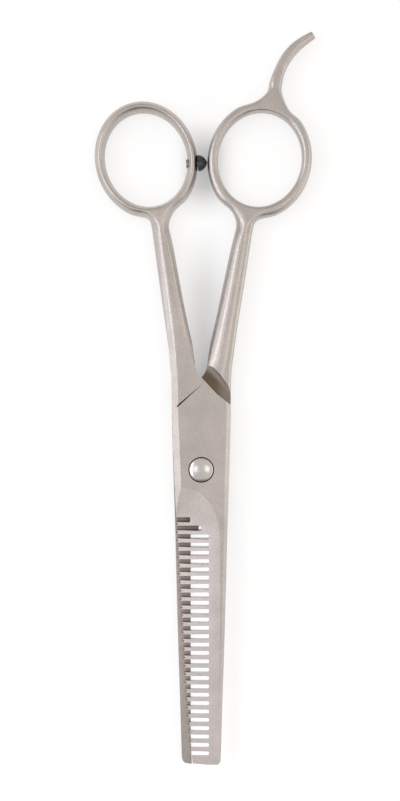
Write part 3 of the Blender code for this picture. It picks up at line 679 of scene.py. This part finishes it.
def grind_cutter(name, spine_x, foot, foot_height, place):
    """Takes the ground face off the outer side, from the boundary down to the foot line."""
    foot_x, foot_y = foot
    above = 0.12  # how far the cutter goes on past the outer face, as a share of its slope
    lower, upper = [], []
    for x, y in grind_boundary(spine_x):
        top = Vector((x, y, outer_height(y)))
        bottom = Vector((foot_x, min(y, foot_y), foot_height(y)))
        lower.append(bottom)
        upper.append(top + (top - bottom) * above)
    count = len(lower)
    points = [tuple(p) for p in lower + upper]
    points += [(x, y, CUT_ABOVE) for x, y, _ in points]
    faces = []
    for i in range(count - 1):
        a, b, c, d = i, i + 1, count + i + 1, count + i
        high = 2 * count
        faces += [[a, b, c, d], [a + high, b + high, c + high, d + high]]
        faces += [[a, b, b + high, a + high], [d, c, c + high, d + high]]
    for i in (0, count - 1):
        faces.append([i, count + i, 3 * count + i, 2 * count + i])
    return outwards(mesh_object(name, points, faces, place=place))


def tip_cutter(name, corners, radius, place):
    """Trims the blade's end to a line from left to right, whose last corner is rounded."""
    corners = [(x, TIP_Y + y) for x, y in corners]
    up = (corners[-1][0], TIP_Y + 4.0)
    outline = corners[:-1] + rounded_corner(corners[-2], corners[-1], up, radius, 16)
    below = TIP_Y - 5.0
    outside = [(-CUT_ASIDE, below), (CUT_ASIDE, below), (CUT_ASIDE, outline[-1][1])]
    outline = outside + outline[::-1] + [(-CUT_ASIDE, outline[0][1])]
    return outwards(prism(name, outline, CUT_BELOW, CUT_ABOVE, place))


# ---- Comb


def gap_outline(centre_y, root_x, half_width):
    """A gap between two teeth, open to the left, with small rounds in its root."""
    centre_x = root_x - GAP_CORNER
    inner = half_width - GAP_CORNER
    steps = 6
    outline = [(-CUT_ASIDE, centre_y - half_width)]
    for start, y in ((-90, centre_y - inner), (0, centre_y + inner)):
        for i in range(steps + 1):
            angle = math.radians(start + 90 / steps * i)
            outline.append((centre_x + GAP_CORNER * math.cos(angle), y + GAP_CORNER * math.sin(angle)))
    outline.append((-CUT_ASIDE, centre_y + half_width))
    return outline


def inner_width(gap):
    """Width of a gap at the inner face. It grows towards the tip."""
    for (n0, w0), (n1, w1) in zip(GAP_INNER_WIDTHS, GAP_INNER_WIDTHS[1:]):
        if gap <= n1:
            return w0 + (w1 - w0) * (gap - n0) / (n1 - n0)
    return GAP_INNER_WIDTHS[-1][1]


def comb_cutter(name):
    """All the gaps of the comb. They are wider at the outer face."""
    low, high = INNER_FACE - 0.2, THICKNESS + 1.0
    points, faces = [], []
    for i in range(GAP_COUNT):
        centre_y = FIRST_GAP_Y - i * TOOTH_PITCH
        root_x = GAP_ROOTS[i] if i < len(GAP_ROOTS) else GAP_ROOT_X
        first = len(points)
        inner = inner_width(i)
        for height in (low, high):
            share = (height - INNER_FACE) / GAP_OUTER_HEIGHT
            half_width = (inner + (GAP_OUTER_WIDTH - inner) * share) / 2
            points += [(x, y, height) for x, y in gap_outline(centre_y, root_x, half_width)]
        faces += solid_faces((len(points) - first) // 2, first)
    return outwards(mesh_object(name, points, faces))


def left_edge(y):
    """The line of the tooth tips."""
    for (y0, x0, _), (y1, x1, _) in zip(PLATE, PLATE[1:]):
        if y1 <= y <= y0:
            return x0 + (x1 - x0) * (y - y0) / (y1 - y0)
    return PLATE[-1][1]


def notch_cutter(name):
    """The small V in the tip of each tooth, which holds the hair."""
    points, faces = [], []
    for i in range(GAP_COUNT - 1):
        y = FIRST_GAP_Y - (i + 0.5) * TOOTH_PITCH
        tip = left_edge(y)
        half = TOOTH_NOTCH_WIDTH / 2
        outer = tip - 1.0
        spread = half * (1.0 + TOOTH_NOTCH_DEPTH) / TOOTH_NOTCH_DEPTH
        faces += solid_faces(3, len(points))
        for height in (INNER_FACE - 1.0, THICKNESS + 1.0):
            points += [(outer, y - spread, height), (tip + TOOTH_NOTCH_DEPTH, y, height)]
            points.append((outer, y + spread, height))
    return outwards(mesh_object(name, points, faces))


def groove_cutter(name):
    """The engraved line on the outer face of the ricasso, deeper towards the edge."""
    above = 0.5
    start, end = (Vector(spot) for spot, _, _ in GROOVE)
    across = Vector((start.y - end.y, end.x - start.x)).normalized()
    points = []
    for spot, half, depth in GROOVE:
        wide = half * (above + depth) / (depth + above / 2)
        for side in (-wide, wide):
            points.append((*(Vector(spot) + across * side), THICKNESS + above))
        points.append((*spot, THICKNESS - depth))
    return outwards(mesh_object(name, points, solid_faces(3)))


# ---- The two halves


def toothed_half(steels):
    cage = make_cage(THUMB_RING, THUMB_NECK, THUMB_SHANK)
    half = forged_half("front_half_forging", cage, steels.blasted)

    def face_foot(y):
        return outer_height(y) - FACE_SLOPE * (TOOTHED_SPINE_X - TOOTHED_FOOT[0])

    face = ("cut_comb_face", TOOTHED_SPINE_X, TOOTHED_FOOT, face_foot, as_is)
    counterbore = (COUNTERBORE_RADIUS, COUNTERBORE_FLOOR, CUT_ABOVE)
    inside_ring = -2 * BAND_WIDTH
    stud_hole = (STUD_RADIUS + STUD_PLAY, inside_ring, BAND_WIDTH, 48, along_bumper)
    stud_seat = (STUD_HEAD_RADIUS + STUD_PLAY, inside_ring, STUD_SEAT, 64, along_bumper)
    cut(half, inner_side_cutter("cut_thumb_inner_side", as_is, steels.ridden, steels.scoop))
    cut(half, crotch_cutter("cut_thumb_crotch", as_is), steels.blasted)
    cut(half, grind_cutter(*face), steels.ground)
    cut(half, tip_cutter("cut_comb_tip", TOOTHED_TIP, TOOTHED_TIP_RADIUS, as_is), steels.ground)
    cut(half, comb_cutter("cut_comb_gaps"), steels.milled)
    cut(half, notch_cutter("cut_tooth_notches"), steels.milled)
    cut(half, groove_cutter("cut_groove"), steels.hollow)
    cut(half, cylinder("cut_counterbore", *counterbore), steels.seat)
    cut(half, cylinder("cut_thumb_pivot_hole", HOLE_RADIUS, CUT_BELOW, CUT_ABOVE), steels.hollow)
    cut(half, cylinder("cut_stud_hole", *stud_hole), steels.hollow)
    cut(half, cylinder("cut_stud_seat", *stud_seat), steels.hollow)
    return half


def plain_half(steels):
    cage = make_cage(FINGER_RING, FINGER_NECK, FINGER_SHANK, REST_ROOT)
    half = forged_half("rear_half_forging", cage, steels.blasted, turned_over)

    def edge_foot(_):
        return INNER_FACE + CUTTING_EDGE_HEIGHT

    face = ("cut_plain_face", PLAIN_SPINE_X, PLAIN_FOOT, edge_foot, turned_over)
    heel_end = (CUTTING_EDGE_X, EDGE_END_Y)
    corners = [HEEL_START] + [corner for corner, _ in HEEL] + [heel_end]
    heel = [HEEL_START]
    for i, (corner, radius) in enumerate(HEEL):
        heel += rounded_corner(corners[i], corner, corners[i + 2], radius, 10)
    heel += [heel_end, EDGE_AIM, (HEEL_START[0], EDGE_AIM[1])]
    heel_cutter = outwards(prism("cut_heel", heel, CUT_BELOW, CUT_ABOVE, turned_over))
    cut(half, inner_side_cutter("cut_finger_inner_side", turned_over, steels.ridden, steels.scoop))
    cut(half, crotch_cutter("cut_finger_crotch", turned_over), steels.blasted)
    cut(half, grind_cutter(*face), steels.ground)
    cut(half, heel_cutter, steels.ground)
    cut(half, tip_cutter("cut_plain_tip", PLAIN_TIP, PLAIN_TIP_RADIUS, turned_over), steels.ground)
    cut(half, cylinder("cut_nut_recess", NUT_RECESS_RADIUS, CUT_BELOW, NUT_RECESS_TOP), steels.hollow)
    cut(half, cylinder("cut_finger_pivot_hole", HOLE_RADIUS, CUT_BELOW, CUT_ABOVE), steels.hollow)
    return half


# ---- Small pieces


def pivot_screw(finish):
    """Domed head, and a shaft whose end is threaded."""
    dome_steps, rim_round = 24, 0.08
    wide = DOME_SPREAD * HEAD_RADIUS  # the ellipsoid's half axes
    tall = (HEAD_TOP - HEAD_RIM) / (1 - math.sqrt(1 - (HEAD_RADIUS / wide) ** 2))
    profile = [(0.0, HEAD_TOP)]
    for i in range(1, dome_steps + 1):
        radius = (HEAD_RADIUS - rim_round) * i / dome_steps
        profile.append((radius, HEAD_TOP - tall * (1 - math.sqrt(1 - (radius / wide) ** 2))))
    profile += [(HEAD_RADIUS - rim_round / 4, HEAD_RIM - rim_round / 2)]
    profile += [(HEAD_RADIUS, HEAD_RIM - rim_round * 2), (HEAD_RADIUS, HEAD_BOTTOM)]
    profile += [(SHAFT_RADIUS, HEAD_BOTTOM), (SHAFT_RADIUS, THREAD_TOP)]
    return turned("pivot_screw_turned", profile + thread_profile(), finish)


def thread_profile():
    """The rolled thread on the screw's end, from its top down to the chamfered end."""
    points = []
    ridge = THREAD_TOP - THREAD_PITCH / 2
    while ridge > SHAFT_END + THREAD_PITCH:
        points.append((SHAFT_RADIUS - THREAD_DEPTH, ridge))
        points.append((SHAFT_RADIUS, ridge - THREAD_PITCH / 2))
        ridge -= THREAD_PITCH
    return points + [(SHAFT_RADIUS - CHAMFER, SHAFT_END), (0.0, SHAFT_END)]


def tension_washer(finish):
    low, thick = WASHER_BOTTOM, WASHER_THICKNESS
    high = low + WASHER_DISH
    profile = [(WASHER_BORE, high + thick), (WASHER_RADIUS, low + thick)]
    profile += [(WASHER_RADIUS, low), (WASHER_BORE, high)]
    return turned("tension_washer_dished", profile, finish)


def pivot_nut(finish):
    profile = [(NUT_BORE, NUT_TOP), (NUT_RADIUS, NUT_TOP), (NUT_RADIUS, NUT_BOTTOM + CHAMFER)]
    steps = 5
    for i in range(1, steps + 1):
        angle = math.radians(90 / steps * i)
        inwards, upwards = CHAMFER * (1 - math.cos(angle)), CHAMFER * (1 - math.sin(angle))
        profile.append((NUT_RADIUS - inwards, NUT_BOTTOM + upwards))
    profile += [(NUT_BORE + CHAMFER / 2, NUT_BOTTOM), (NUT_BORE, NUT_BOTTOM + CHAMFER / 2)]
    nut = turned("pivot_nut_turned", profile, finish)
    for side in (-1, 1):
        def key_hole(point, x=side * KEY_HOLE_X):
            return (point[0] + x, point[1], point[2])

        cut(nut, cylinder("cut_key_hole", KEY_HOLE_RADIUS, CUT_BELOW, KEY_HOLE_TOP, 32, key_hole))
    return nut


def bumper_head(finish):
    base, tip = BUMPER_BASE, BUMPER_BASE + BUMPER_LENGTH
    nose = BUMPER_LENGTH - BUMPER_SKIRT
    across, along = BUMPER_ROUNDNESS
    profile = [(0.0, tip)]
    steps = 28
    for i in range(1, steps + 1):
        angle = math.pi / 2 * i / steps
        height = tip - nose + nose * math.cos(angle) ** (2 / along)
        profile.append((BUMPER_RADIUS * math.sin(angle) ** (2 / across), height))
    end_play, chamfer = 0.25, 0.08
    bore, bore_end = STUD_RADIUS + STUD_PLAY, STUD_END + end_play
    profile += [(BUMPER_RADIUS, base + chamfer), (BUMPER_RADIUS - chamfer, base)]
    profile += [(bore, base), (bore, bore_end), (0.0, bore_end)]
    return turned("bumper_rubber", profile, finish, 64, along_bumper)


def bumper_stud(finish):
    head_top = STUD_SEAT - BUMPER_BASE
    head_end = head_top - STUD_HEAD_THICKNESS
    round_off = 0.12
    profile = [(0.0, STUD_END), (STUD_RADIUS, STUD_END), (STUD_RADIUS, head_top)]
    profile += [(STUD_HEAD_RADIUS, head_top), (STUD_HEAD_RADIUS, head_end + round_off)]
    profile += [(STUD_HEAD_RADIUS - round_off / 3, head_end + round_off / 3)]
    profile += [(STUD_HEAD_RADIUS - round_off, head_end), (0.0, head_end)]
    stud = turned("bumper_stud_turned", profile, finish, 48, along_bumper)
    half, far = STUD_SLOT[0] / 2, 2 * STUD_HEAD_RADIUS
    outline = [(-far, -half), (far, -half), (far, half), (-far, half)]
    slot = prism("cut_stud_slot", outline, head_end - 1.0, head_end + STUD_SLOT[1], along_bumper)
    cut(stud, outwards(slot))
    return stud


# ---- Materials


class Nodes:
    """The node tree of a material or a world, around its shader."""

    def __init__(self, owner, shader="Principled BSDF"):
        owner.use_nodes = True
        self.owner = owner
        self.tree = owner.node_tree
        self.shader = self.tree.nodes[shader]
        self.coordinates = self.node("TexCoord").outputs
        self.place = self.coordinates["Object"]

    def feed(self, socket, value):
        """Links an input to an output, or sets it to a number, a colour or a vector."""
        if isinstance(value, bpy.types.NodeSocket):
            self.tree.links.new(value, socket)
        else:
            socket.default_value = (*value, 1.0) if socket.type == "RGBA" else value

    def set(self, node, **inputs):
        """Feeds a node's inputs, whose names are written with _ for a space."""
        for name, value in inputs.items():
            self.feed(node.inputs[name.replace("_", " ")], value)
        return node

    def node(self, kind, **inputs):
        return self.set(self.tree.nodes.new("ShaderNode" + kind), **inputs)

    def stretched(self, scale):
        """The object's coordinates, scaled along each axis."""
        return self.node("Mapping", Scale=scale, Vector=self.place).outputs["Vector"]

    def noise(self, scale, detail=2.0, roughness=0.5, vector=None):
        node = self.node("TexNoise", Scale=scale, Detail=detail, Roughness=roughness)
        return self.set(node, Vector=vector or self.place).outputs["Fac"]

    def ramp(self, value, stops, interpolation="LINEAR"):
        """A colour or grey value for each place in stops."""
        node = self.node("ValToRGB", Fac=value)
        node.color_ramp.interpolation = interpolation
        elements = node.color_ramp.elements
        elements[0].position, elements[1].position = stops[0][0], stops[-1][0]
        for place, _ in stops[1:-1]:
            elements.new(place)
        for element, (_, colour) in zip(elements, stops):
            element.color = (*colour, 1.0) if isinstance(colour, tuple) else (colour,) * 3 + (1.0,)
        return node.outputs["Color"]

    def spots(self):
        """A few tiny stains, as a mask."""
        cells = self.node("TexVoronoi", Scale=150.0, Vector=self.place).outputs["Distance"]
        wander = self.math("MULTIPLY", self.noise(1500.0), 0.05)
        stain = self.ramp(self.math("ADD", cells, wander), [(0.045, 1.0), (0.065, 0.0)])
        return self.math("MULTIPLY", stain, 0.5)

    def edges(self, radius):
        """A mask that is 1 along sharp edges, where a rounded shape's normal turns away, for a painted
        highlight.
        """
        rounded = self.node("Bevel", Radius=radius)
        rounded.samples = 6
        turn = self.node("VectorMath")
        turn.operation = "DOT_PRODUCT"
        for socket, node in zip(turn.inputs, (rounded, self.node("NewGeometry"))):
            self.feed(socket, node.outputs["Normal"])
        return self.ramp(turn.outputs["Value"], [(0.85, 1.0), (0.98, 0.0)])

    def depth(self, reach):
        """A mask that is 1 deep inside a narrow recess, from ambient occlusion, for painted shade."""
        open_sky = self.node("AmbientOcclusion", Distance=reach)
        open_sky.samples = 8
        return self.ramp(open_sky.outputs["AO"], [(0.15, 1.0), (0.85, 0.0)])

    def axis(self, name, origin=0.0):
        """Millimetres along an axis from a place on it."""
        along = self.node("SeparateXYZ", Vector=self.place).outputs[name]
        return self.math("MULTIPLY", self.math("SUBTRACT", along, origin), 1 / MM)

    def share(self, value, low, high):
        """0 up to low, 1 from high, and smooth in between."""
        node = self.node("MapRange", Value=value, From_Min=low, From_Max=high)
        node.interpolation_type = "SMOOTHSTEP"
        return node.outputs["Result"]

    def math(self, operation, a, b):
        node = self.node("Math")
        node.operation = operation
        self.feed(node.inputs[0], a)
        self.feed(node.inputs[1], b)
        return node.outputs["Value"]

    def mix(self, factor, a, b, blend="MIX"):
        node = self.node("Mix")
        node.data_type = "RGBA"
        node.blend_type = blend
        sockets = {socket.identifier: socket for socket in (*node.inputs, *node.outputs)}
        self.feed(sockets["Factor_Float"], factor)
        self.feed(sockets["A_Color"], a)
        self.feed(sockets["B_Color"], b)
        return sockets["Result_Color"]

    def bump(self, height, distance, strength):
        """Gives the shader a relief."""
        node = self.node("Bump", Height=height, Distance=distance, Strength=strength)
        self.set(self.shader, Normal=node.outputs["Normal"])


def shaded(tint, shade):
    """The tint, darkened or lightened by the same share or by one share for each colour."""
    shares = shade if isinstance(shade, tuple) else (shade,) * 3
    return tuple(min(1.0, colour * share) for colour, share in zip(tint, shares))


def steel(name, tint, roughness, lines=ALL_WAYS, speckle=0.1, edge_highlight=0.45, shade_and_dirt=None, level=None):
    """Stainless steel. lines is the way of its polishing marks, speckle the strength of its grain,
    and edge_highlight that of the light line along its edges, which is a painted highlight.

    shade_and_dirt is the colour painted deep in its recesses as painted shade, or, with a level,
    near the plane where the halves meet as soiling and painted shade: level is how far from that
    plane the colour starts to fade and where it ends. There it also thins out sideways.
    """
    nodes = Nodes(bpy.data.materials.new(name))
    clouds = nodes.noise(140.0, 4.0, 0.6)
    grain = nodes.noise(3000.0, 2.0, 0.6)
    marks = nodes.noise(1.0, 3.0, 0.65, nodes.stretched(lines))
    dull, clean = (shaded(tint, shade) for shade in CLOUD_SHADES)
    base = nodes.ramp(clouds, [(0.32, dull), (0.68, clean)])
    base = nodes.mix(speckle, base, nodes.ramp(grain, [(0.36, 0.0), (0.64, 1.0)]), "OVERLAY")
    base = nodes.mix(nodes.spots(), base, shaded(tint, STAIN_SHADE))
    # Painted highlight: a lighter line along sharp edges, standing in for the light that rounded edges
    # catch
    edge = nodes.math("MULTIPLY", nodes.edges(EDGE_HIGHLIGHT_RADIUS), edge_highlight)
    base = nodes.mix(edge, base, shaded(tint, EDGE_HIGHLIGHT_LIGHTER))
    # Soiling and painted shade near the plane where the halves meet, where the hollow shoulder lies
    # beside the other half's wall
    if shade_and_dirt and level:
        away = nodes.math("ABSOLUTE", nodes.axis("Z", MIDDLE * MM), 0.0)
        waves = nodes.math("MULTIPLY", nodes.noise(450.0, 3.0), SHOULDER_SHADE_WAVES)
        sideways = nodes.math("ABSOLUTE", nodes.axis("X", PIVOT.x), 0.0)
        thin = tuple((darkest + clear) / 2 for darkest, clear in zip(shade_and_dirt, tint))
        shoulder_darkening = nodes.mix(nodes.share(sideways, *SHOULDER_SHADE_SIDE), shade_and_dirt, thin)
        base = nodes.mix(nodes.share(nodes.math("ADD", away, waves), *level), shoulder_darkening, base)
    elif shade_and_dirt:
        # Painted shade: darker where the ambient occlusion finds walls near
        base = nodes.mix(nodes.depth(RECESS_SHADE_REACH), base, shade_and_dirt)
    by_clouds = nodes.math("MULTIPLY", clouds, UNEVEN_GLOSS[0])
    by_marks = nodes.math("MULTIPLY", marks, UNEVEN_GLOSS[1])
    lowest = roughness - sum(UNEVEN_GLOSS) / 2
    rough = nodes.math("ADD", nodes.math("ADD", by_clouds, by_marks), lowest)
    nodes.set(nodes.shader, Metallic=1.0, Base_Color=base, Roughness=rough)
    height = nodes.math("ADD", nodes.math("MULTIPLY", grain, 0.5), nodes.math("MULTIPLY", marks, 0.5))
    nodes.bump(height, STEEL_RELIEF, 0.4)
    return nodes.owner


class Steels:
    """The finishes of the two halves."""

    def __init__(self):
        # Brown is painted shade deep in the recesses of the ridden and the unpolished steel
        brown, seat_shade, shoulder_soil_and_shade = (0.10, 0.072, 0.05), (0.012, 0.01, 0.009), (0.21, 0.16, 0.115)
        self.blasted = steel("blasted_steel", (0.505, 0.463, 0.436), 0.33)
        self.ground = steel("ground_steel", (0.58, 0.533, 0.518), 0.34, CROSSWISE)
        self.ridden = steel("ridden_steel", (0.43, 0.39, 0.365), 0.42, LENGTHWISE, shade_and_dirt=brown)
        self.milled = steel("milled_steel", (0.56, 0.55, 0.56), 0.42, LENGTHWISE)
        self.hollow = steel("unpolished_steel", (0.30, 0.255, 0.22), 0.5, edge_highlight=0.2, shade_and_dirt=brown)
        # The counterbore's seat is painted almost black: painted shade of the narrow gap round the
        # screw's head
        self.seat = steel("shade_painted_seat_steel", (0.05, 0.042, 0.036), 0.6, edge_highlight=0.0, shade_and_dirt=seat_shade)
        # The hollow shoulder: soiling, and painted shade beside the other half's wall
        scooped = (0.54, 0.49, 0.45)
        self.scoop = steel("scooped_steel", scooped, 0.5, edge_highlight=0.2, shade_and_dirt=shoulder_soil_and_shade, level=(0.7, 1.7))


def moulded_rubber(name):
    """Black rubber with a mottled, slightly lumpy skin."""
    nodes = Nodes(bpy.data.materials.new(name))
    swirl = nodes.noise(1300.0, 2.0, 0.6)
    grain = nodes.math("MULTIPLY", nodes.noise(3200.0), 0.15)
    base = nodes.ramp(swirl, [(0.35, (0.008, 0.009, 0.012)), (0.65, (0.06, 0.065, 0.075))])
    rough = nodes.math("ADD", nodes.math("MULTIPLY", swirl, 0.5), 0.1)
    nodes.set(nodes.shader, Base_Color=base, Roughness=rough, Specular_IOR_Level=0.4)
    nodes.bump(nodes.math("ADD", swirl, grain), RUBBER_RELIEF, 0.8)
    return nodes.owner


# ---- Camera, floor and light


def add_camera():
    """Looks straight down at the closed pair. The frame's long side is the sensor's width."""
    centre = PIVOT + Vector((VIEW_CENTRE[0], VIEW_CENTRE[1], MIDDLE)) * MM
    data = bpy.data.cameras.new("camera")
    data.sensor_width = 36.0
    data.lens = data.sensor_width * VIEW_DISTANCE / VIEW_HEIGHT
    camera = bpy.data.objects.new("camera", data)
    camera.location = centre + Vector((0.0, 0.0, VIEW_DISTANCE * MM))
    bpy.context.scene.collection.objects.link(camera)
    bpy.context.scene.camera = camera


def add_floor():
    """A pale table that glows. Less glow on a line between the handles paints a soft shadow there, and
    more under the blades paints light.
    """
    half = TABLE_HALF
    corners = [(-half, -half, 0.0), (half, -half, 0.0), (half, half, 0.0), (-half, half, 0.0)]
    mesh = bpy.data.meshes.new("floor")
    mesh.from_pydata(corners, [], [(0, 1, 2, 3)])
    floor = bpy.data.objects.new("floor", mesh)
    bpy.context.scene.collection.objects.link(floor)
    nodes = Nodes(bpy.data.materials.new("pale_floor"))
    # Painted shadow on the table between the handles and between the rings, and painted light under
    # the blades
    x, y = nodes.axis("X", PIVOT.x + SHADOW_AND_LIGHT_LINE_X * MM), nodes.axis("Y", PIVOT.y)
    start, end = SHADOW_AND_LIGHT_LINE[0][0], SHADOW_AND_LIGHT_LINE[-1][0]
    along = nodes.math("DIVIDE", nodes.math("SUBTRACT", y, start), end - start)
    under = nodes.ramp(along, [((at - start) / (end - start), glow) for at, glow in SHADOW_AND_LIGHT_LINE])
    aside = nodes.share(nodes.math("ABSOLUTE", x, 0.0), *SHADOW_AND_LIGHT_LINE_WIDTH)
    glow = nodes.mix(aside, under, (TABLE_GLOW,) * 3)
    white = (TABLE_WHITE,) * 3
    nodes.set(nodes.shader, Base_Color=white, Roughness=0.9, Specular_IOR_Level=0.2)
    nodes.set(nodes.shader, Emission_Strength=glow, Emission_Color=(1.0, 1.0, 1.0))
    mesh.materials.append(nodes.owner)


def add_softbox(name, azimuth, elevation, size, radiance, colour):
    """A soft light that faces the shears. Azimuth 0 is at +X and 90 at +Y."""
    data = bpy.data.lights.new(name, "AREA")
    data.shape = "RECTANGLE"
    data.size, data.size_y = size
    data.energy = radiance * math.pi * data.size * data.size_y
    data.color = colour
    light = bpy.data.objects.new(name, data)
    a, e = math.radians(azimuth), math.radians(elevation)
    outwards_to = Vector((math.cos(a) * math.cos(e), math.sin(a) * math.cos(e), math.sin(e)))
    light.location = outwards_to * SOFTBOX_DISTANCE
    light.rotation_euler = outwards_to.to_track_quat("Z", "Y").to_euler()
    bpy.context.scene.collection.objects.link(light)


def add_world():
    """A white tent that is darker at its two ends, along Y."""
    nodes = Nodes(bpy.data.worlds.new("studio"), "Background")
    direction = nodes.node("SeparateXYZ", Vector=nodes.coordinates["Generated"])
    share = nodes.node("MapRange", Value=direction.outputs["Y"], From_Min=-1.0).outputs["Result"]
    strength = nodes.ramp(share, [((1 + y) / 2, value) for y, value in TENT_STRENGTH], "EASE")
    nodes.set(nodes.shader, Strength=strength, Color=TENT_COLOUR)
    bpy.context.scene.world = nodes.owner


def add_light():
    bpy.context.scene.view_settings.view_transform = "Standard"
    add_world()
    for softbox in SOFTBOXES:
        add_softbox(*softbox)


# ---- Whole object


def put(piece, node, body):
    """Hides the CAD node that a piece stands in for, and makes the piece ride on its body."""
    piece.data.shade_smooth()
    piece.data.set_sharp_from_angle(angle=SHARP_ANGLE)
    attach(piece, body)
    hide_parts(node)


def main():
    steels = Steels()
    # Painted shade on the screw, washer and nut where walls are near, as in the gap round the head
    black = (0.05, 0.042, 0.036)
    bright = steel("bright_steel", (0.61, 0.58, 0.565), 0.2, speckle=0.05, edge_highlight=0.3, shade_and_dirt=black)
    # The stud's end inside the ring is a darker steel: soiling, and painted shade
    dull = steel("darkened_stud_steel", (0.33, 0.3, 0.28), 0.45, speckle=0.05, edge_highlight=0.1)
    rubber = moulded_rubber("black_rubber")
    put(plain_half(steels), "plain_half", "rear_half")
    put(pivot_screw(bright), "pivot_screw", "rear_half")
    put(tension_washer(bright), "tension_washer", "rear_half")
    put(pivot_nut(bright), "pivot_nut", "rear_half")
    put(toothed_half(steels), "toothed_half", "front_half")
    put(bumper_head(rubber), "bumper_head", "front_half")
    put(bumper_stud(dull), "bumper_stud", "front_half")
    add_camera()
    add_floor()
    add_light()


main()
